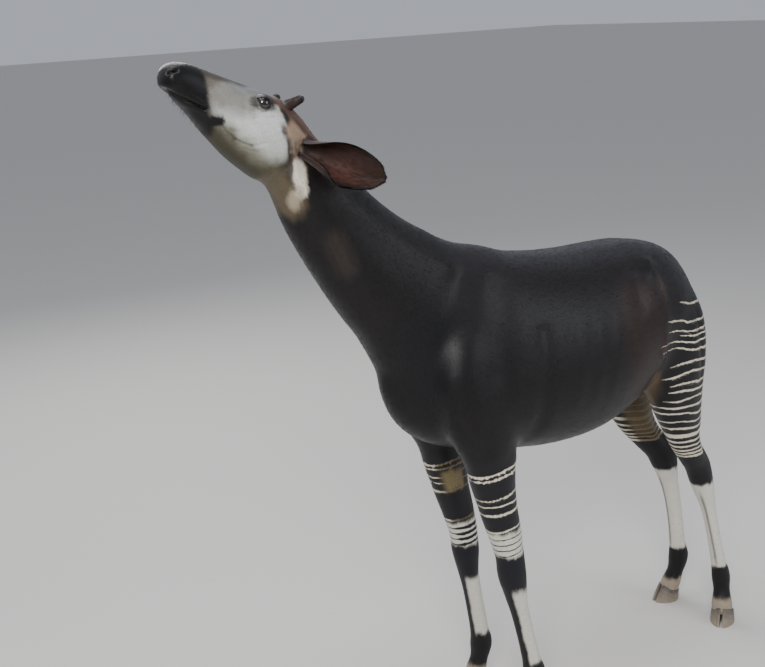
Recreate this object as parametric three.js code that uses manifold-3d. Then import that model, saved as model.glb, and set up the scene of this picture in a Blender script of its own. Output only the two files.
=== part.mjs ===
// A standing okapi, life size, stretching its neck forward and up to browse.
// Millimetres, +Z up. The animal faces -X, its left side is -Y, and its soles are at z = 0.
// It is modelled about its own middle and moved at the end, so that the origin is
// the bottom centre of its bounding box.
import * as THREE from "three";
import { mergeVertices } from "three/addons/utils/BufferGeometryUtils.js";
import Module from "manifold-3d";

const wasm = await Module();
wasm.setup();

// Driving sizes.
const gap = 0.3; // clearance that neighbouring pieces keep
const eyeRadius = 20.5;
const earLength = 204;
const earThickness = 5;
const hoofGap = 7; // between the two claws of one foot
const tailLength = 330; // of the fleshy dock
const tuftLength = 150;

// Small maths.
const clamp = (v, lo, hi) => Math.min(hi, Math.max(lo, v));
const mix = (a, b, t) => a + (b - a) * t;
const smooth = (e0, e1, v) => {
  const t = clamp((v - e0) / (e1 - e0), 0, 1);
  return t * t * (3 - 2 * t);
};

// A seeded random number from 0 to 1.
function seeded(seed) {
  let state = seed;
  return () => {
    state = (state * 1664525 + 1013904223) % 4294967296;
    return state / 4294967296;
  };
}

// A smooth curve through evenly spaced keys, each a list of numbers, at parameter t.
function through(keys, t) {
  const last = keys.length - 1;
  const i = clamp(Math.floor(t), 0, last - 1);
  const f = t - i;
  const k = (j) => keys[clamp(j, 0, last)];
  return keys[i].map((_, n) => {
    const [a, b, c, d] = [k(i - 1)[n], k(i)[n], k(i + 1)[n], k(i + 2)[n]];
    return 0.5 * (2 * b + (c - a) * f + (2 * a - 5 * b + 4 * c - d) * f * f
      + (3 * b - a - 3 * c + d) * f * f * f);
  });
}

// A closed surface from rings of points, each ring a list of [x, y, z], with its ends
// gathered to a point.
function skinOf(rings) {
  const sides = rings[0].length;
  const middle = (ring) => [0, 1, 2].map((n) => ring.reduce((s, p) => s + p[n], 0) / sides);
  const points = [...rings.flat(), middle(rings[0]), middle(rings[rings.length - 1])];
  const first = rings.length * sides;
  const index = [];
  rings.slice(1).forEach((_, r) => {
    for (let s = 0; s < sides; s++) {
      const [a, b] = [r * sides + s, r * sides + ((s + 1) % sides)];
      index.push(a, b, b + sides, a, b + sides, a + sides);
    }
  });
  for (let s = 0; s < sides; s++) {
    const next = (s + 1) % sides;
    const end = (rings.length - 1) * sides;
    index.push(first, next, s, first + 1, end + s, end + next);
  }
  const geometry = new THREE.BufferGeometry();
  geometry.setAttribute("position", new THREE.Float32BufferAttribute(points.flat(), 3));
  geometry.setIndex(index);
  return geometry;
}

// A closed mesh as a solid, turned right way out if its rings ran the other way.
function solid(geometry) {
  const bare = geometry.clone();
  bare.deleteAttribute("normal");
  bare.deleteAttribute("uv");
  const merged = mergeVertices(bare, 1e-4);
  const faces = Array.from(merged.index.array);
  const kept = [];
  for (let i = 0; i < faces.length; i += 3) {
    const [a, b, c] = faces.slice(i, i + 3);
    if (a !== b && b !== c && a !== c) kept.push(a, b, c);
  }
  const build = (triVerts) => new wasm.Manifold(new wasm.Mesh({
    numProp: 3,
    vertProperties: merged.attributes.position.array,
    triVerts: new Uint32Array(triVerts),
  }));
  const made = build(kept);
  return made.volume() < 0 ? build(kept.reverse()) : made;
}

const join = (pieces) => pieces.reduce((whole, piece) => whole.add(piece));

// Only the largest closed surface of a solid.
function largest(made) {
  const pieces = made.decompose();
  return pieces.sort((a, b) => b.volume() - a.volume())[0];
}

// The point at angle `turn` of a section: the first half-size is along the front or top,
// the second along the back or bottom, and the third and fourth across. A positive
// `taper` narrows the front or top.
function section(turn, front, back, across, other, power, taper) {
  const [c, s] = [Math.cos(turn), Math.sin(turn)];
  const bend = (v) => Math.sign(v) * Math.abs(v) ** (2 / power);
  const along = (c > 0 ? front : back) * bend(c);
  const side = (s > 0 ? across : other) * bend(s) * (1 - taper * c);
  return [along, side];
}

// Trunk, neck and head: each key is the top point x and z, the bottom point x and z,
// the half width, the section's power and its taper.
function loftSagittal(keys, sides, steps, swell = 0) {
  const rings = [];
  const count = (keys.length - 1) * steps;
  for (let i = 0; i <= count; i++) {
    const [tx, tz, bx, bz, width, power, taper] = through(keys, i / steps);
    const tall = Math.hypot(tx - bx, tz - bz) / 2;
    const up = [(tx - bx) / (2 * tall), (tz - bz) / (2 * tall)];
    rings.push(Array.from({ length: sides }, (_, s) => {
      const turn = (s / sides) * 2 * Math.PI;
      const [along, side] = section(turn, tall + swell, tall + swell, width + swell,
        width + swell, power, taper);
      return [(tx + bx) / 2 + up[0] * along, side, (tz + bz) / 2 + up[1] * along];
    }));
  }
  return skinOf(rings);
}

// Limbs and tail: each key is the centre x, y and z, the half sizes to the front, back,
// outside and inside, and the section's turn about the limb in degrees, toes out.
function loftLimb(keys, side, sides, steps, swell = 0) {
  const rings = [];
  const count = (keys.length - 1) * steps;
  const centre = (t) => new THREE.Vector3(...through(keys, clamp(t, 0, keys.length - 1))
    .slice(0, 3));
  for (let i = 0; i <= count; i++) {
    const t = i / steps;
    const [, , , front, back, outside, inside, turned] = through(keys, t);
    const here = centre(t);
    const along = centre(t + 0.25).sub(centre(t - 0.25)).normalize();
    const yaw = THREE.MathUtils.degToRad(turned);
    const forward = new THREE.Vector3(-Math.cos(yaw), side * Math.sin(yaw), 0);
    forward.addScaledVector(along, -forward.dot(along)).normalize();
    const out = new THREE.Vector3().crossVectors(along, forward).normalize();
    if (out.y * side < 0) out.negate();
    rings.push(Array.from({ length: sides }, (_, s) => {
      const [a, b] = section((s / sides) * 2 * Math.PI, front + swell, back + swell,
        outside + swell, inside + swell, 2.15, 0);
      return here.clone().addScaledVector(forward, a).addScaledVector(out, b).toArray();
    }));
  }
  return skinOf(rings);
}

// A big block on the far side of a plane: everything beyond `point` along `normal`.
function beyond(point, normal, shift = 0) {
  const size = 4000;
  const n = new THREE.Vector3(...normal).normalize();
  const block = new THREE.BoxGeometry(size, size, size);
  block.translate(0, 0, size / 2 + shift);
  block.applyQuaternion(new THREE.Quaternion().setFromUnitVectors(
    new THREE.Vector3(0, 0, 1), n));
  block.translate(...point);
  return solid(block);
}

// Trunk. x runs from the breast at the left to the buttocks at the right.
const trunkKeys = [
  [-730, 1192, -730, 1188, 2, 2, 0],
  [-717, 1254, -717, 1118, 34, 2, 0],
  [-676, 1362, -676, 1034, 78, 2.1, 0.04],
  [-604, 1462, -604, 966, 128, 2.2, 0.14],
  [-510, 1514, -510, 924, 172, 2.2, 0.26],
  [-400, 1509, -400, 896, 204, 2.2, 0.24],
  [-270, 1466, -270, 866, 228, 2.2, 0.16],
  [-130, 1441, -130, 847, 243, 2.15, 0.08],
  [0, 1430, 0, 850, 246, 2.15, 0.06],
  [120, 1426, 120, 878, 236, 2.15, 0.02],
  [230, 1420, 230, 924, 214, 2.2, -0.02],
  [320, 1406, 320, 955, 194, 2.2, 0],
  [390, 1380, 390, 980, 166, 2.1, 0.06],
  [445, 1338, 445, 1008, 132, 2, 0.08],
  [490, 1284, 490, 1046, 96, 2, 0],
  [518, 1226, 518, 1100, 56, 2, 0],
  [526, 1170, 526, 1166, 2, 2, 0],
];

// Neck, from inside the chest to inside the skull.
const neckKeys = [
  [-380, 1380, -560, 1050, 60, 2, 0],
  [-420, 1500, -666, 1094, 110, 2.1, 0.04],
  [-482, 1534, -733, 1200, 114, 2.1, 0.04],
  [-545, 1564, -784, 1294, 108, 2.1, 0.06],
  [-612, 1600, -852, 1391, 101, 2.1, 0.08],
  [-682, 1648, -920, 1496, 92, 2.05, 0.06],
  [-752, 1708, -980, 1601, 85, 2.05, 0.05],
  [-822, 1784, -1022, 1694, 80, 2.05, 0.05],
  [-884, 1848, -1046, 1756, 73, 2, 0.05],
  [-940, 1870, -1040, 1800, 40, 2, 0],
];

// Head, from inside the neck to the lips. The muzzle points up and forward.
const headKeys = [
  [-862, 1806, -900, 1772, 20, 2, 0],
  [-890, 1852, -972, 1754, 62, 2, 0],
  [-928, 1896, -1030, 1752, 80, 2.1, 0.02],
  [-966, 1936, -1074, 1768, 85, 2.2, 0.0],
  [-1008, 1968, -1112, 1797, 86, 2.3, -0.04],
  [-1056, 1990, -1150, 1830, 80, 2.3, -0.03],
  [-1106, 2010, -1184, 1866, 68, 2.2, 0.0],
  [-1156, 2031, -1216, 1903, 56, 2.2, 0.04],
  [-1204, 2051, -1244, 1940, 47, 2.2, 0.04],
  [-1246, 2067, -1270, 1972, 43, 2.2, 0.0],
  [-1282, 2070, -1292, 1994, 39, 2.2, 0.0],
  [-1304, 2058, -1307, 2012, 30, 2.1, 0],
  [-1313, 2038, -1313, 2032, 4, 2, 0],
];

// Fore leg, left side; the other side mirrors y, with its own stance below.
const foreKeys = [
  [-490, 86, 1330, 60, 60, 44, 44, 0],
  [-502, 110, 1240, 104, 122, 68, 60, 0],
  [-508, 122, 1140, 118, 140, 74, 70, 0],
  [-492, 130, 1050, 114, 134, 72, 72, 0],
  [-470, 134, 970, 100, 110, 64, 66, 0],
  [-455, 134, 900, 84, 88, 58, 58, 0],
  [-443, 133, 825, 72, 70, 54, 52, 0],
  [-424, 132, 740, 61, 58, 47, 45, 0],
  [-400, 132, 655, 54, 51, 43, 41, 0],
  [-385, 131, 580, 47, 45, 41, 39, 2],
  [-376, 131, 516, 45, 41, 43, 41, 4],
  [-368, 132, 456, 36, 38, 36, 35, 5],
  [-350, 132, 380, 30, 34, 28, 28, 6],
  [-328, 132, 290, 29, 34, 27, 27, 8],
  [-309, 133, 205, 30, 36, 29, 29, 8],
  [-301, 134, 153, 34, 39, 35, 35, 9],
  [-309, 135, 108, 27, 31, 31, 31, 9],
  [-322, 136, 66, 31, 33, 37, 37, 9],
  [-333, 137, 26, 28, 30, 35, 35, 9],
];

// Hind leg, left side.
const hindKeys = [
  [300, 70, 1330, 60, 60, 40, 40, 0],
  [306, 94, 1250, 120, 130, 68, 60, 0],
  [318, 108, 1160, 146, 160, 80, 78, 0],
  [334, 114, 1070, 148, 166, 84, 88, 2],
  [352, 116, 985, 132, 146, 80, 84, 4],
  [374, 116, 900, 110, 118, 73, 74, 6],
  [402, 112, 820, 88, 84, 61, 62, 8],
  [432, 105, 745, 72, 62, 50, 50, 10],
  [473, 96, 675, 58, 50, 42, 42, 12],
  [512, 88, 615, 48, 56, 38, 38, 14],
  [538, 86, 562, 46, 52, 39, 39, 16],
  [557, 88, 505, 39, 38, 35, 35, 18],
  [578, 92, 430, 31, 35, 26, 26, 20],
  [601, 97, 330, 29, 34, 24, 24, 22],
  [623, 102, 225, 30, 36, 26, 26, 24],
  [636, 106, 158, 34, 40, 33, 33, 26],
  [632, 114, 110, 27, 32, 30, 30, 28],
  [622, 124, 66, 31, 34, 37, 37, 28],
  [616, 132, 26, 28, 30, 35, 35, 28],
];

// How the four legs stand: at each height, the shift in x, the shift outwards and the
// extra turn of the foot.
const stances = {
  foreleg_left: [foreKeys, -1, [[0, 0, 0, 0], [1400, 0, 0, 0]]],
  foreleg_right: [foreKeys, 1, [[0, 2, -18, -3], [150, 2, -18, -3], [290, 6, -24, 0],
    [520, 18, -32, 0], [900, 18, -30, 0], [1150, 4, -6, 0], [1400, 0, 0, 0]]],
  hindleg_left: [hindKeys, -1, [[0, 0, 6, 4], [560, 0, 6, 0], [1000, 0, 0, 0],
    [1400, 0, 0, 0]]],
  hindleg_right: [hindKeys, 1, [[0, -16, -26, -18], [66, -2, -26, -18],
    [158, 5, -20, -14], [300, 18, -14, -10], [520, 22, -4, -6], [700, 8, -2, 0],
    [900, 0, 0, 0], [1400, 0, 0, 0]]],
};

// The keys of one leg with its own stance.
function legKeys(name) {
  const [keys, side, bends] = stances[name];
  return keys.map(([x, y, z, front, back, outside, inside, turned]) => {
    const above = Math.max(1, bends.findIndex((bend) => bend[0] >= z));
    const [low, high] = [bends[above - 1], bends[above]];
    const t = (z - low[0]) / (high[0] - low[0]);
    const [dx, dy, turn] = [1, 2, 3].map((n) => mix(low[n], high[n], t));
    return [x + dx, side * (y + dy), z, front, back, outside, inside, turned + turn];
  });
}

const limb = (name, swell = 0) => solid(loftLimb(legKeys(name), stances[name][1], 14, 2,
  swell));
const trunk = (swell = 0) => solid(loftSagittal(trunkKeys, 26, 2, swell));
const neckTube = (swell = 0) => solid(loftSagittal(neckKeys, 22, 2, swell));
const skull = (swell = 0) => solid(loftSagittal(headKeys, 24, 2, swell));

const flesh = join([trunk(), neckTube(), skull(),
  ...Object.keys(stances).map((name) => limb(name))]);

// A ball stretched to half sizes along three axes given by a forward and an up direction.
function ball(centre, sizes, forward = [1, 0, 0], up = [0, 0, 1], detail = 10) {
  const made = new THREE.SphereGeometry(1, detail, detail);
  const x = new THREE.Vector3(...forward).normalize();
  const z = new THREE.Vector3(...up);
  z.addScaledVector(x, -z.dot(x)).normalize();
  const y = new THREE.Vector3().crossVectors(z, x);
  const turn = new THREE.Matrix4().makeBasis(x, y, z);
  made.scale(...sizes).applyMatrix4(turn).translate(...centre);
  return solid(made);
}

// A flat outline of points, each [along, across], drawn out to `depth` on both sides of a
// centre, standing on the plane with the given forward and normal directions.
function prism(outline, depth, centre, forward, normal) {
  const shape = new THREE.Shape(outline.map(([a, b]) => new THREE.Vector2(a, b)));
  const made = new THREE.ExtrudeGeometry(shape, { depth: 2 * depth, bevelEnabled: false });
  const x = new THREE.Vector3(...forward).normalize();
  const z = new THREE.Vector3(...normal);
  z.addScaledVector(x, -z.dot(x)).normalize();
  const y = new THREE.Vector3().crossVectors(z, x);
  made.translate(0, 0, -depth).applyMatrix4(new THREE.Matrix4().makeBasis(x, y, z));
  made.translate(...centre);
  return solid(made);
}

// Where the face carries its parts, for the left side.
const eyeCentre = [-1082, 68, 1960];
const eyeForward = [-0.79, 0, 0.61];
const eyeLook = [-0.2, -1, 0.06];
const hornBase = [-1004, 46, 1944];
const hornTip = [-956, 56, 1963];
const earBase = [-965, 78, 1836];
const earTip = [-800, 176, 1748];
const earOpen = [-0.42, -0.86, 0.02];
const mouthLine = [[-1330, 2026], [-1308, 2014], [-1280, 1992], [-1250, 1972], [-1222, 1957]];
const nostril = [-1292, 33, 2046];

const at = ([x, y, z], side) => [x, side * y, z];
const faced = ([x, y, z], side) => [x, -side * y, z];

// An almond outline, long along the first axis.
function almond(half, tall, count) {
  return Array.from({ length: count }, (_, i) => {
    const t = (i / count) * 2 * Math.PI;
    return [half * Math.cos(t), tall * Math.sin(t) * (1 - 0.35 * Math.cos(t) ** 2)];
  });
}

// The ear: an arc across, rolled tight at the root and opening to a broad leaf. Each key
// is the arc's radius and half angle in degrees.
const earKeys = [[20, 150], [25, 132], [33, 108], [43, 90], [51, 76], [56, 66], [57, 58],
  [55, 49], [50, 37], [43, 5]];
function earShell(side) {
  const base = new THREE.Vector3(...at(earBase, side));
  const axis = new THREE.Vector3(...at(earTip, side)).sub(base);
  const reach = earLength + 26;
  axis.normalize();
  const open = new THREE.Vector3(...faced(earOpen, side));
  open.addScaledVector(axis, -open.dot(axis)).normalize();
  const across = new THREE.Vector3().crossVectors(axis, open);
  const rows = 17;
  const cols = 9;
  const rings = Array.from({ length: rows + 1 }, (_, r) => {
    const t = r / rows;
    const [radius, degrees] = through(earKeys, t * (earKeys.length - 1));
    const half = THREE.MathUtils.degToRad(Math.max(degrees, 2));
    const spot = (c, offset) => {
      const turn = half * ((2 * c) / cols - 1);
      const size = radius + offset;
      return base.clone().addScaledVector(axis, reach * t - 26)
        .addScaledVector(across, size * Math.sin(turn))
        .addScaledVector(open, radius - size * Math.cos(turn)).toArray();
    };
    const thick = earThickness * (1 - 0.35 * t);
    return [...Array.from({ length: cols + 1 }, (_, c) => spot(c, thick / 2)),
      ...Array.from({ length: cols + 1 }, (_, c) => spot(cols - c, -thick / 2))];
  });
  return solid(skinOf(rings));
}

// One claw: rings from the tilted coronet down to a flat sole, the toe pointed. `ground`
// is the foot's middle, `yaw` its turn outwards and `half` -1 or 1 for the two claws.
const clawRings = [
  // height in front, height behind, toe reach, heel reach, widest, backward shift
  [58, 33, 33, 36, 32, 10],
  [42, 24, 40, 38, 34, 6],
  [20, 11, 49, 41, 36, 2],
  [0, 0, 56, 43, 36, 0],
];
function claw(ground, yaw, side, half) {
  const forward = new THREE.Vector3(-Math.cos(yaw), side * Math.sin(yaw), 0);
  const out = new THREE.Vector3(-forward.y, forward.x, 0).multiplyScalar(half);
  const rings = clawRings.map(([front, back, toe, heel, wide, shift]) => Array.from(
    { length: 18 }, (_, i) => {
      const turn = (i / 18) * 2 * Math.PI;
      const c = Math.cos(turn);
      const s = Math.sin(turn);
      const along = c > 0 ? toe * c : heel * c;
      const pinch = c > 0 ? 1 - 0.42 * c * c : 1 - 0.12 * c * c;
      const side2 = s > 0 ? wide * s ** 0.8 * pinch : -2 * Math.abs(s) ** 0.5 * pinch;
      const flat = s > 0 ? side2 : Math.max(side2, -2);
      const level = clamp((along + heel) / (toe + heel), 0, 1);
      return [ground[0] + forward.x * (along - shift) + out.x * (hoofGap / 2 + 2 + flat),
        ground[1] + forward.y * (along - shift) + out.y * (hoofGap / 2 + 2 + flat),
        mix(back, front, level)];
    }));
  return solid(skinOf(rings));
}

// The plane of one foot's coronet: a point on it and the normal that points up the leg.
function coronet(ground, yaw, side) {
  const forward = new THREE.Vector3(-Math.cos(yaw), side * Math.sin(yaw), 0);
  const [front, back, toe, heel] = clawRings[0];
  const normal = new THREE.Vector3(0, 0, toe + heel)
    .addScaledVector(forward, -(front - back));
  const point = [ground[0] + forward.x * (toe - 10), ground[1] + forward.y * (toe - 10),
    front];
  return [point, normal.toArray()];
}
const feet = {};
Object.entries(stances).forEach(([name, [, side]]) => {
  const [x, y, , , , , , turned] = legKeys(name).at(-1);
  feet[name] = { ground: [x, y, 0], yaw: THREE.MathUtils.degToRad(turned), side };
});

// Tail: the dock hangs behind the rump, each key its middle and half sizes.
const tailKeys = [
  [505, 0, 1262, 26, 26, 30, 30, 0],
  [535, 0, 1240, 27, 27, 28, 28, 0],
  [560, 0, 1190, 21, 21, 23, 23, 0],
  [574, 0, 1120, 16, 16, 17, 17, 0],
  [580, 0, 1040, 13, 13, 14, 14, 0],
  [582, 0, 1250 - tailLength, 10, 10, 11, 11, 0],
];
const tailEnd = [582, 0, 1250 - tailLength];

// The tuft: flat tapered locks, rooted in the dock and falling from it, joined as one.
function tuft() {
  const random = seeded(7);
  const locks = Array.from({ length: 15 }, (_, i) => {
    const around = (i / 15) * 2 * Math.PI * 3 + random() * 0.5;
    const start = tailEnd[2] + 8 + 74 * (i / 15);
    const lean = 6 + 14 * random();
    const long = tuftLength * (0.72 + 0.28 * random()) + 30 * (i / 15);
    const wide = 7 + 3 * random();
    const side = [Math.cos(around), Math.sin(around)];
    const rings = Array.from({ length: 4 }, (_, r) => {
      const t = r / 3;
      const size = wide * [0.7, 1, 0.75, 0.12][r];
      const off = 5 + lean * Math.sin(Math.PI * (0.12 + 0.62 * t));
      return Array.from({ length: 6 }, (_, k) => {
        const turn = (k / 6) * 2 * Math.PI;
        const [a, b] = [0.45 * size * Math.cos(turn), size * Math.sin(turn)];
        return [tailEnd[0] - 2 * t + side[0] * (off + a) - side[1] * b,
          side[1] * (off + a) + side[0] * b, start - long * t];
      });
    });
    return solid(skinOf(rings));
  });
  return join(locks);
}

// Each leg is parted from the trunk by its own swollen shape below a level plane.
const legTop = { fore: 905, hind: 952 };
const legRegion = (name, swell, lift) => limb(name, swell)
  .subtract(beyond([0, 0, legTop[name.startsWith("fore") ? "fore" : "hind"] + lift],
    [0, 0, 1]));
const neckBase = [[-500, 0, 1530], [-0.70, 0, 0.71]];
const neckTop = [[-915, 0, 1880], [-0.66, 0, 0.75]];

// Brow, lids and lips are laid on the skull before the cuts.
const sides = [-1, 1];
const faceForms = sides.flatMap((side) => [
  ball(at(eyeCentre, side), [31, 25, 26], eyeForward),
  ball(at([-1052, 58, 1976], side), [34, 20, 14], eyeForward),
  ball(at([-1272, 24, 2044], side), [34, 17, 22], eyeForward),
]);
const lipForms = sides.map((side) => {
  const keys = mouthLine.slice(1).map(([x, z], i) => [x, side * [27, 35, 38, 40][i], z,
    9, 9, 7, 7, 0]);
  return solid(loftLimb(keys, side, 8, 1));
});
const mouthCut = prism([...mouthLine.map(([x, z]) => [x, z + 1.6]),
  ...mouthLine.slice().reverse().map(([x, z]) => [x, z - 1.6])], 60, [0, 0, 0],
[1, 0, 0], [0, -1, 0]);
const mouthCore = solid(loftSagittal(headKeys, 20, 1, -9));

const faceCuts = sides.flatMap((side) => [
  ball(at(eyeCentre, side), [eyeRadius + gap, eyeRadius + gap, eyeRadius + gap],
    eyeForward, [0, 0, 1], 14),
  prism(almond(20, 12.5, 16), 40, [eyeCentre[0], side * (eyeCentre[1] + 38),
    eyeCentre[2]], eyeForward, faced(eyeLook, side)),
  ball(at(nostril, side), [13, 9, 4.5], [-0.55, 0, 0.83]),
]);

const headBlock = join([skull(), neckTube(), ...faceForms, ...lipForms])
  .intersect(beyond(neckTop[0], neckTop[1], gap / 2));
const head = headBlock.subtract(join(faceCuts)).subtract(mouthCut.subtract(mouthCore));
const neck = flesh.intersect(beyond(neckBase[0], neckBase[1], gap / 2))
  .subtract(beyond(neckTop[0], neckTop[1], -gap / 2));
const allLegs = join(Object.keys(stances).map((name) => legRegion(name, 4 + gap, gap)));
const torso = flesh.subtract(beyond(neckBase[0], neckBase[1], -gap / 2))
  .subtract(allLegs);

const headSkin = join([skull(gap), neckTube(gap)]);
const torsoSkin = trunk(gap);

// Surfaces of the model, one look per kind.
const look = (color, roughness) => new THREE.MeshStandardMaterial({ color, roughness });
const looks = {
  coat: look(0x2c1a14, 0.6),
  horn: look(0x5b5046, 0.45),
  eye: look(0x120c09, 0.12),
  dark: look(0x1a1210, 0.6),
};

const model = new THREE.Group();
function add(name, made, kind) {
  const mesh = largest(made).getMesh();
  const geometry = new THREE.BufferGeometry();
  geometry.setAttribute("position", new THREE.BufferAttribute(mesh.vertProperties, 3));
  geometry.setIndex(new THREE.BufferAttribute(mesh.triVerts, 1));
  geometry.computeVertexNormals();
  const node = new THREE.Mesh(geometry, looks[kind]);
  node.name = name;
  model.add(node);
}

add("torso", torso, "coat");
add("neck", neck, "coat");
add("head", head, "coat");
Object.keys(stances).forEach((name) => {
  const { ground, yaw, side } = feet[name];
  const [point, normal] = coronet(ground, yaw, side);
  const down = normal.map((v) => -v);
  add(name, flesh.intersect(legRegion(name, 4, 0)).subtract(beyond(point, down, -gap)),
    "coat");
  [["outer", -side], ["inner", side]].forEach(([which, half]) => {
    add(`claw_${which}_${name}`, claw(ground, yaw, side, half), "horn");
  });
});
sides.forEach((side) => {
  const which = side < 0 ? "left" : "right";
  add(`ear_${which}`, earShell(side).subtract(headSkin), "coat");
  add(`eye_${which}`, ball(at(eyeCentre, side), [eyeRadius, eyeRadius, eyeRadius],
    eyeForward, [0, 0, 1], 14), "eye");
  const [base, tip] = [at(hornBase, side), at(hornTip, side)];
  const keys = [0, 0.35, 0.7, 0.93, 1].map((t, i) => [...[0, 1, 2].map((n) => mix(base[n],
    tip[n], t)), ...Array(4).fill([17, 14.5, 12, 8.5, 3][i]), 0]);
  add(`ossicone_${which}`, solid(loftLimb(keys, side, 14, 2)).subtract(headSkin), "dark");
});
add("tail", join([solid(loftLimb(tailKeys, -1, 14, 2)), tuft()]).subtract(torsoSkin),
  "dark");

// Move the origin to the bottom centre of the bounding box.
const box = new THREE.Box3().setFromObject(model);
const middle = box.getCenter(new THREE.Vector3());
model.children.forEach((node) => node.geometry.translate(-middle.x, -middle.y,
  -box.min.z));
export default model;
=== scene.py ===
# A standing okapi stretching up to browse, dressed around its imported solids.
# Lengths are in metres. The animal faces -X, its left side is -Y and its soles are at z = 0.
import math

import bmesh
import bpy
import numpy as np
from mathutils import Matrix, Vector


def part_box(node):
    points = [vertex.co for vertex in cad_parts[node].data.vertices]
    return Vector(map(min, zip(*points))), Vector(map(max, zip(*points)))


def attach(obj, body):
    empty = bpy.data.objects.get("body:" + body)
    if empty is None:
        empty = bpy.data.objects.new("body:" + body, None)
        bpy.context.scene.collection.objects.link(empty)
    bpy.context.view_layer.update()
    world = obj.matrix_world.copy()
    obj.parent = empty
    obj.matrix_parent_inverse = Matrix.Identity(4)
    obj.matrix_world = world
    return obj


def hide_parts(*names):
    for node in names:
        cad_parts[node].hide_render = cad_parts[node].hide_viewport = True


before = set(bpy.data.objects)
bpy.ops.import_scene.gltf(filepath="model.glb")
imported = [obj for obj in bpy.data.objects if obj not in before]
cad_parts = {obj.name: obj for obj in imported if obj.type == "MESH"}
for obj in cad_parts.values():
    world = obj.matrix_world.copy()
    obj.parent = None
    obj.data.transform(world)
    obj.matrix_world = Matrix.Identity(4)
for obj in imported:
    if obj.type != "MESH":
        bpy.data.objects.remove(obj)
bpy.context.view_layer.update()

# The solids are centred on their box, while the numbers below count from the animal's own
# middle, so everything is made there and moved by this much.
eyeFromMiddle = -1.082
eyeLow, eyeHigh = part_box("eye_left")
shift = np.array([(eyeLow.x + eyeHigh.x) / 2 - eyeFromMiddle, 0.0, 0.0])
bothSides = ((-1, "left"), (1, "right"))


# Small tools
def soft(low, high, value):
    # smooth step: 0 below low, 1 above high, 3t^2 - 2t^3 between
    t = np.clip((value - low) / (high - low), 0, 1)
    return t * t * (3 - 2 * t)


def band(low, high, edge, value):
    # 1 between low and high, fading over edge on both sides
    return soft(low - edge, low + edge, value) * (1 - soft(high - edge, high + edge, value))


def unit(v):
    return v / np.maximum(np.linalg.norm(v, axis=-1, keepdims=True), 1e-9)


def mirrored(points):
    # both sides laid over each other: y counted from the middle plane
    return points * [1, 0, 1] + np.abs(points[:, 1:2]) * [0, 1, 0]


def placed(spot, side):
    # a spot in millimetres, given for the right side, in metres on either side
    return np.array(spot) * [1, side, 1] / 1000


def blend(colours, other, amount):
    # the share amount of the other colour, the rest of the first
    amount = np.asarray(amount)[:, None]
    return colours * (1 - amount) + other * amount


def ripple(points, waves, seed):
    # smooth noise from about -1 to 1: a mean of sines along fixed random directions, with
    # as many waves to the metre
    lot = np.random.default_rng(seed)
    directions = unit(lot.normal(size=(9, 3))) * waves * lot.uniform(0.6, 1.6, (9, 1))
    phases = lot.uniform(0, 2 * np.pi, 9)
    return np.sin(points @ directions.T * 2 * np.pi + phases).mean(1) * 1.9


def through(keys, t):
    # Catmull-Rom curve through evenly spaced keys, at the parameters t
    keys = np.asarray(keys, float)
    last = len(keys) - 1
    t = np.clip(t, 0, last)
    i = np.clip(np.floor(t).astype(int), 0, last - 1)
    f = (t - i)[..., None]
    a, b, c, d = (keys[np.clip(i + k, 0, last)] for k in (-1, 0, 1, 2))
    return 0.5 * (2 * b + (c - a) * f + (2 * a - 5 * b + 4 * c - d) * f ** 2
                  + (3 * b - a - 3 * c + d) * f ** 3)


def toSegment(points, a, b):
    # each point's distance to the segment from a to b, and how far along it lies, 0 to 1
    a, b = np.asarray(a, float), np.asarray(b, float)
    along = b - a
    t = np.clip((points - a) @ along / max(along @ along, 1e-12), 0, 1)
    return np.linalg.norm(points - a - t[:, None] * along, axis=1), t


def gridFaces(rows, cols, wrap):
    # quads between neighbouring rows and columns, the last column joined to the first
    r, c = np.meshgrid(np.arange(rows - 1), np.arange(cols if wrap else cols - 1),
                       indexing="ij")
    n = (c + 1) % cols
    quads = np.stack([r * cols + c, r * cols + n, (r + 1) * cols + n, (r + 1) * cols + c], -1)
    return quads.reshape(-1, 4)


def circle(count):
    # angles evenly round a full turn
    return np.linspace(0, 2 * np.pi, count, endpoint=False)


def tube(rings):
    # a closed tube from rings (rows, cols, 3), each end gathered to its middle
    rows, cols, _ = rings.shape
    points = np.vstack([rings.reshape(-1, 3), rings[0].mean(0), rings[-1].mean(0)])
    start, end = rows * cols, rows * cols + 1
    c = np.arange(cols)
    n = (c + 1) % cols
    low = np.stack([np.full(cols, start), n, c, c], 1)
    high = np.stack([np.full(cols, end), (rows - 1) * cols + c, (rows - 1) * cols + n,
                     (rows - 1) * cols + n], 1)
    return points, np.vstack([gridFaces(rows, cols, True), low, high])


def added(name, data):
    # a new object in the scene
    obj = bpy.data.objects.new(name, data)
    bpy.context.scene.collection.objects.link(obj)
    return obj


def makeMesh(name, points, faces):
    # faces are quads, a triangle repeating its last corner
    mesh = bpy.data.meshes.new(name)
    lists = [f[:3] if f[2] == f[3] else f for f in faces.tolist()]
    mesh.from_pydata((points + shift).tolist(), [], lists)
    mesh.update()
    mesh.polygons.foreach_set("use_smooth", np.ones(len(mesh.polygons), bool))
    return added(name, mesh)


def joined(parts):
    # several (points, faces) as one
    points, faces, start = [], [], 0
    for p, f in parts:
        points.append(p)
        faces.append(f + start)
        start += len(p)
    return np.vstack(points), np.vstack(faces)


def outward(obj):
    # turns a closed piece's faces to the outside
    work = bmesh.new()
    work.from_mesh(obj.data)
    bmesh.ops.recalc_face_normals(work, faces=work.faces)
    work.to_mesh(obj.data)
    work.free()


def readRows(items, field, width, kind=np.float32):
    # one field of every item as rows of an array
    rows = np.empty(len(items) * width, kind)
    items.foreach_get(field, rows)
    return rows.reshape(-1, width)


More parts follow.
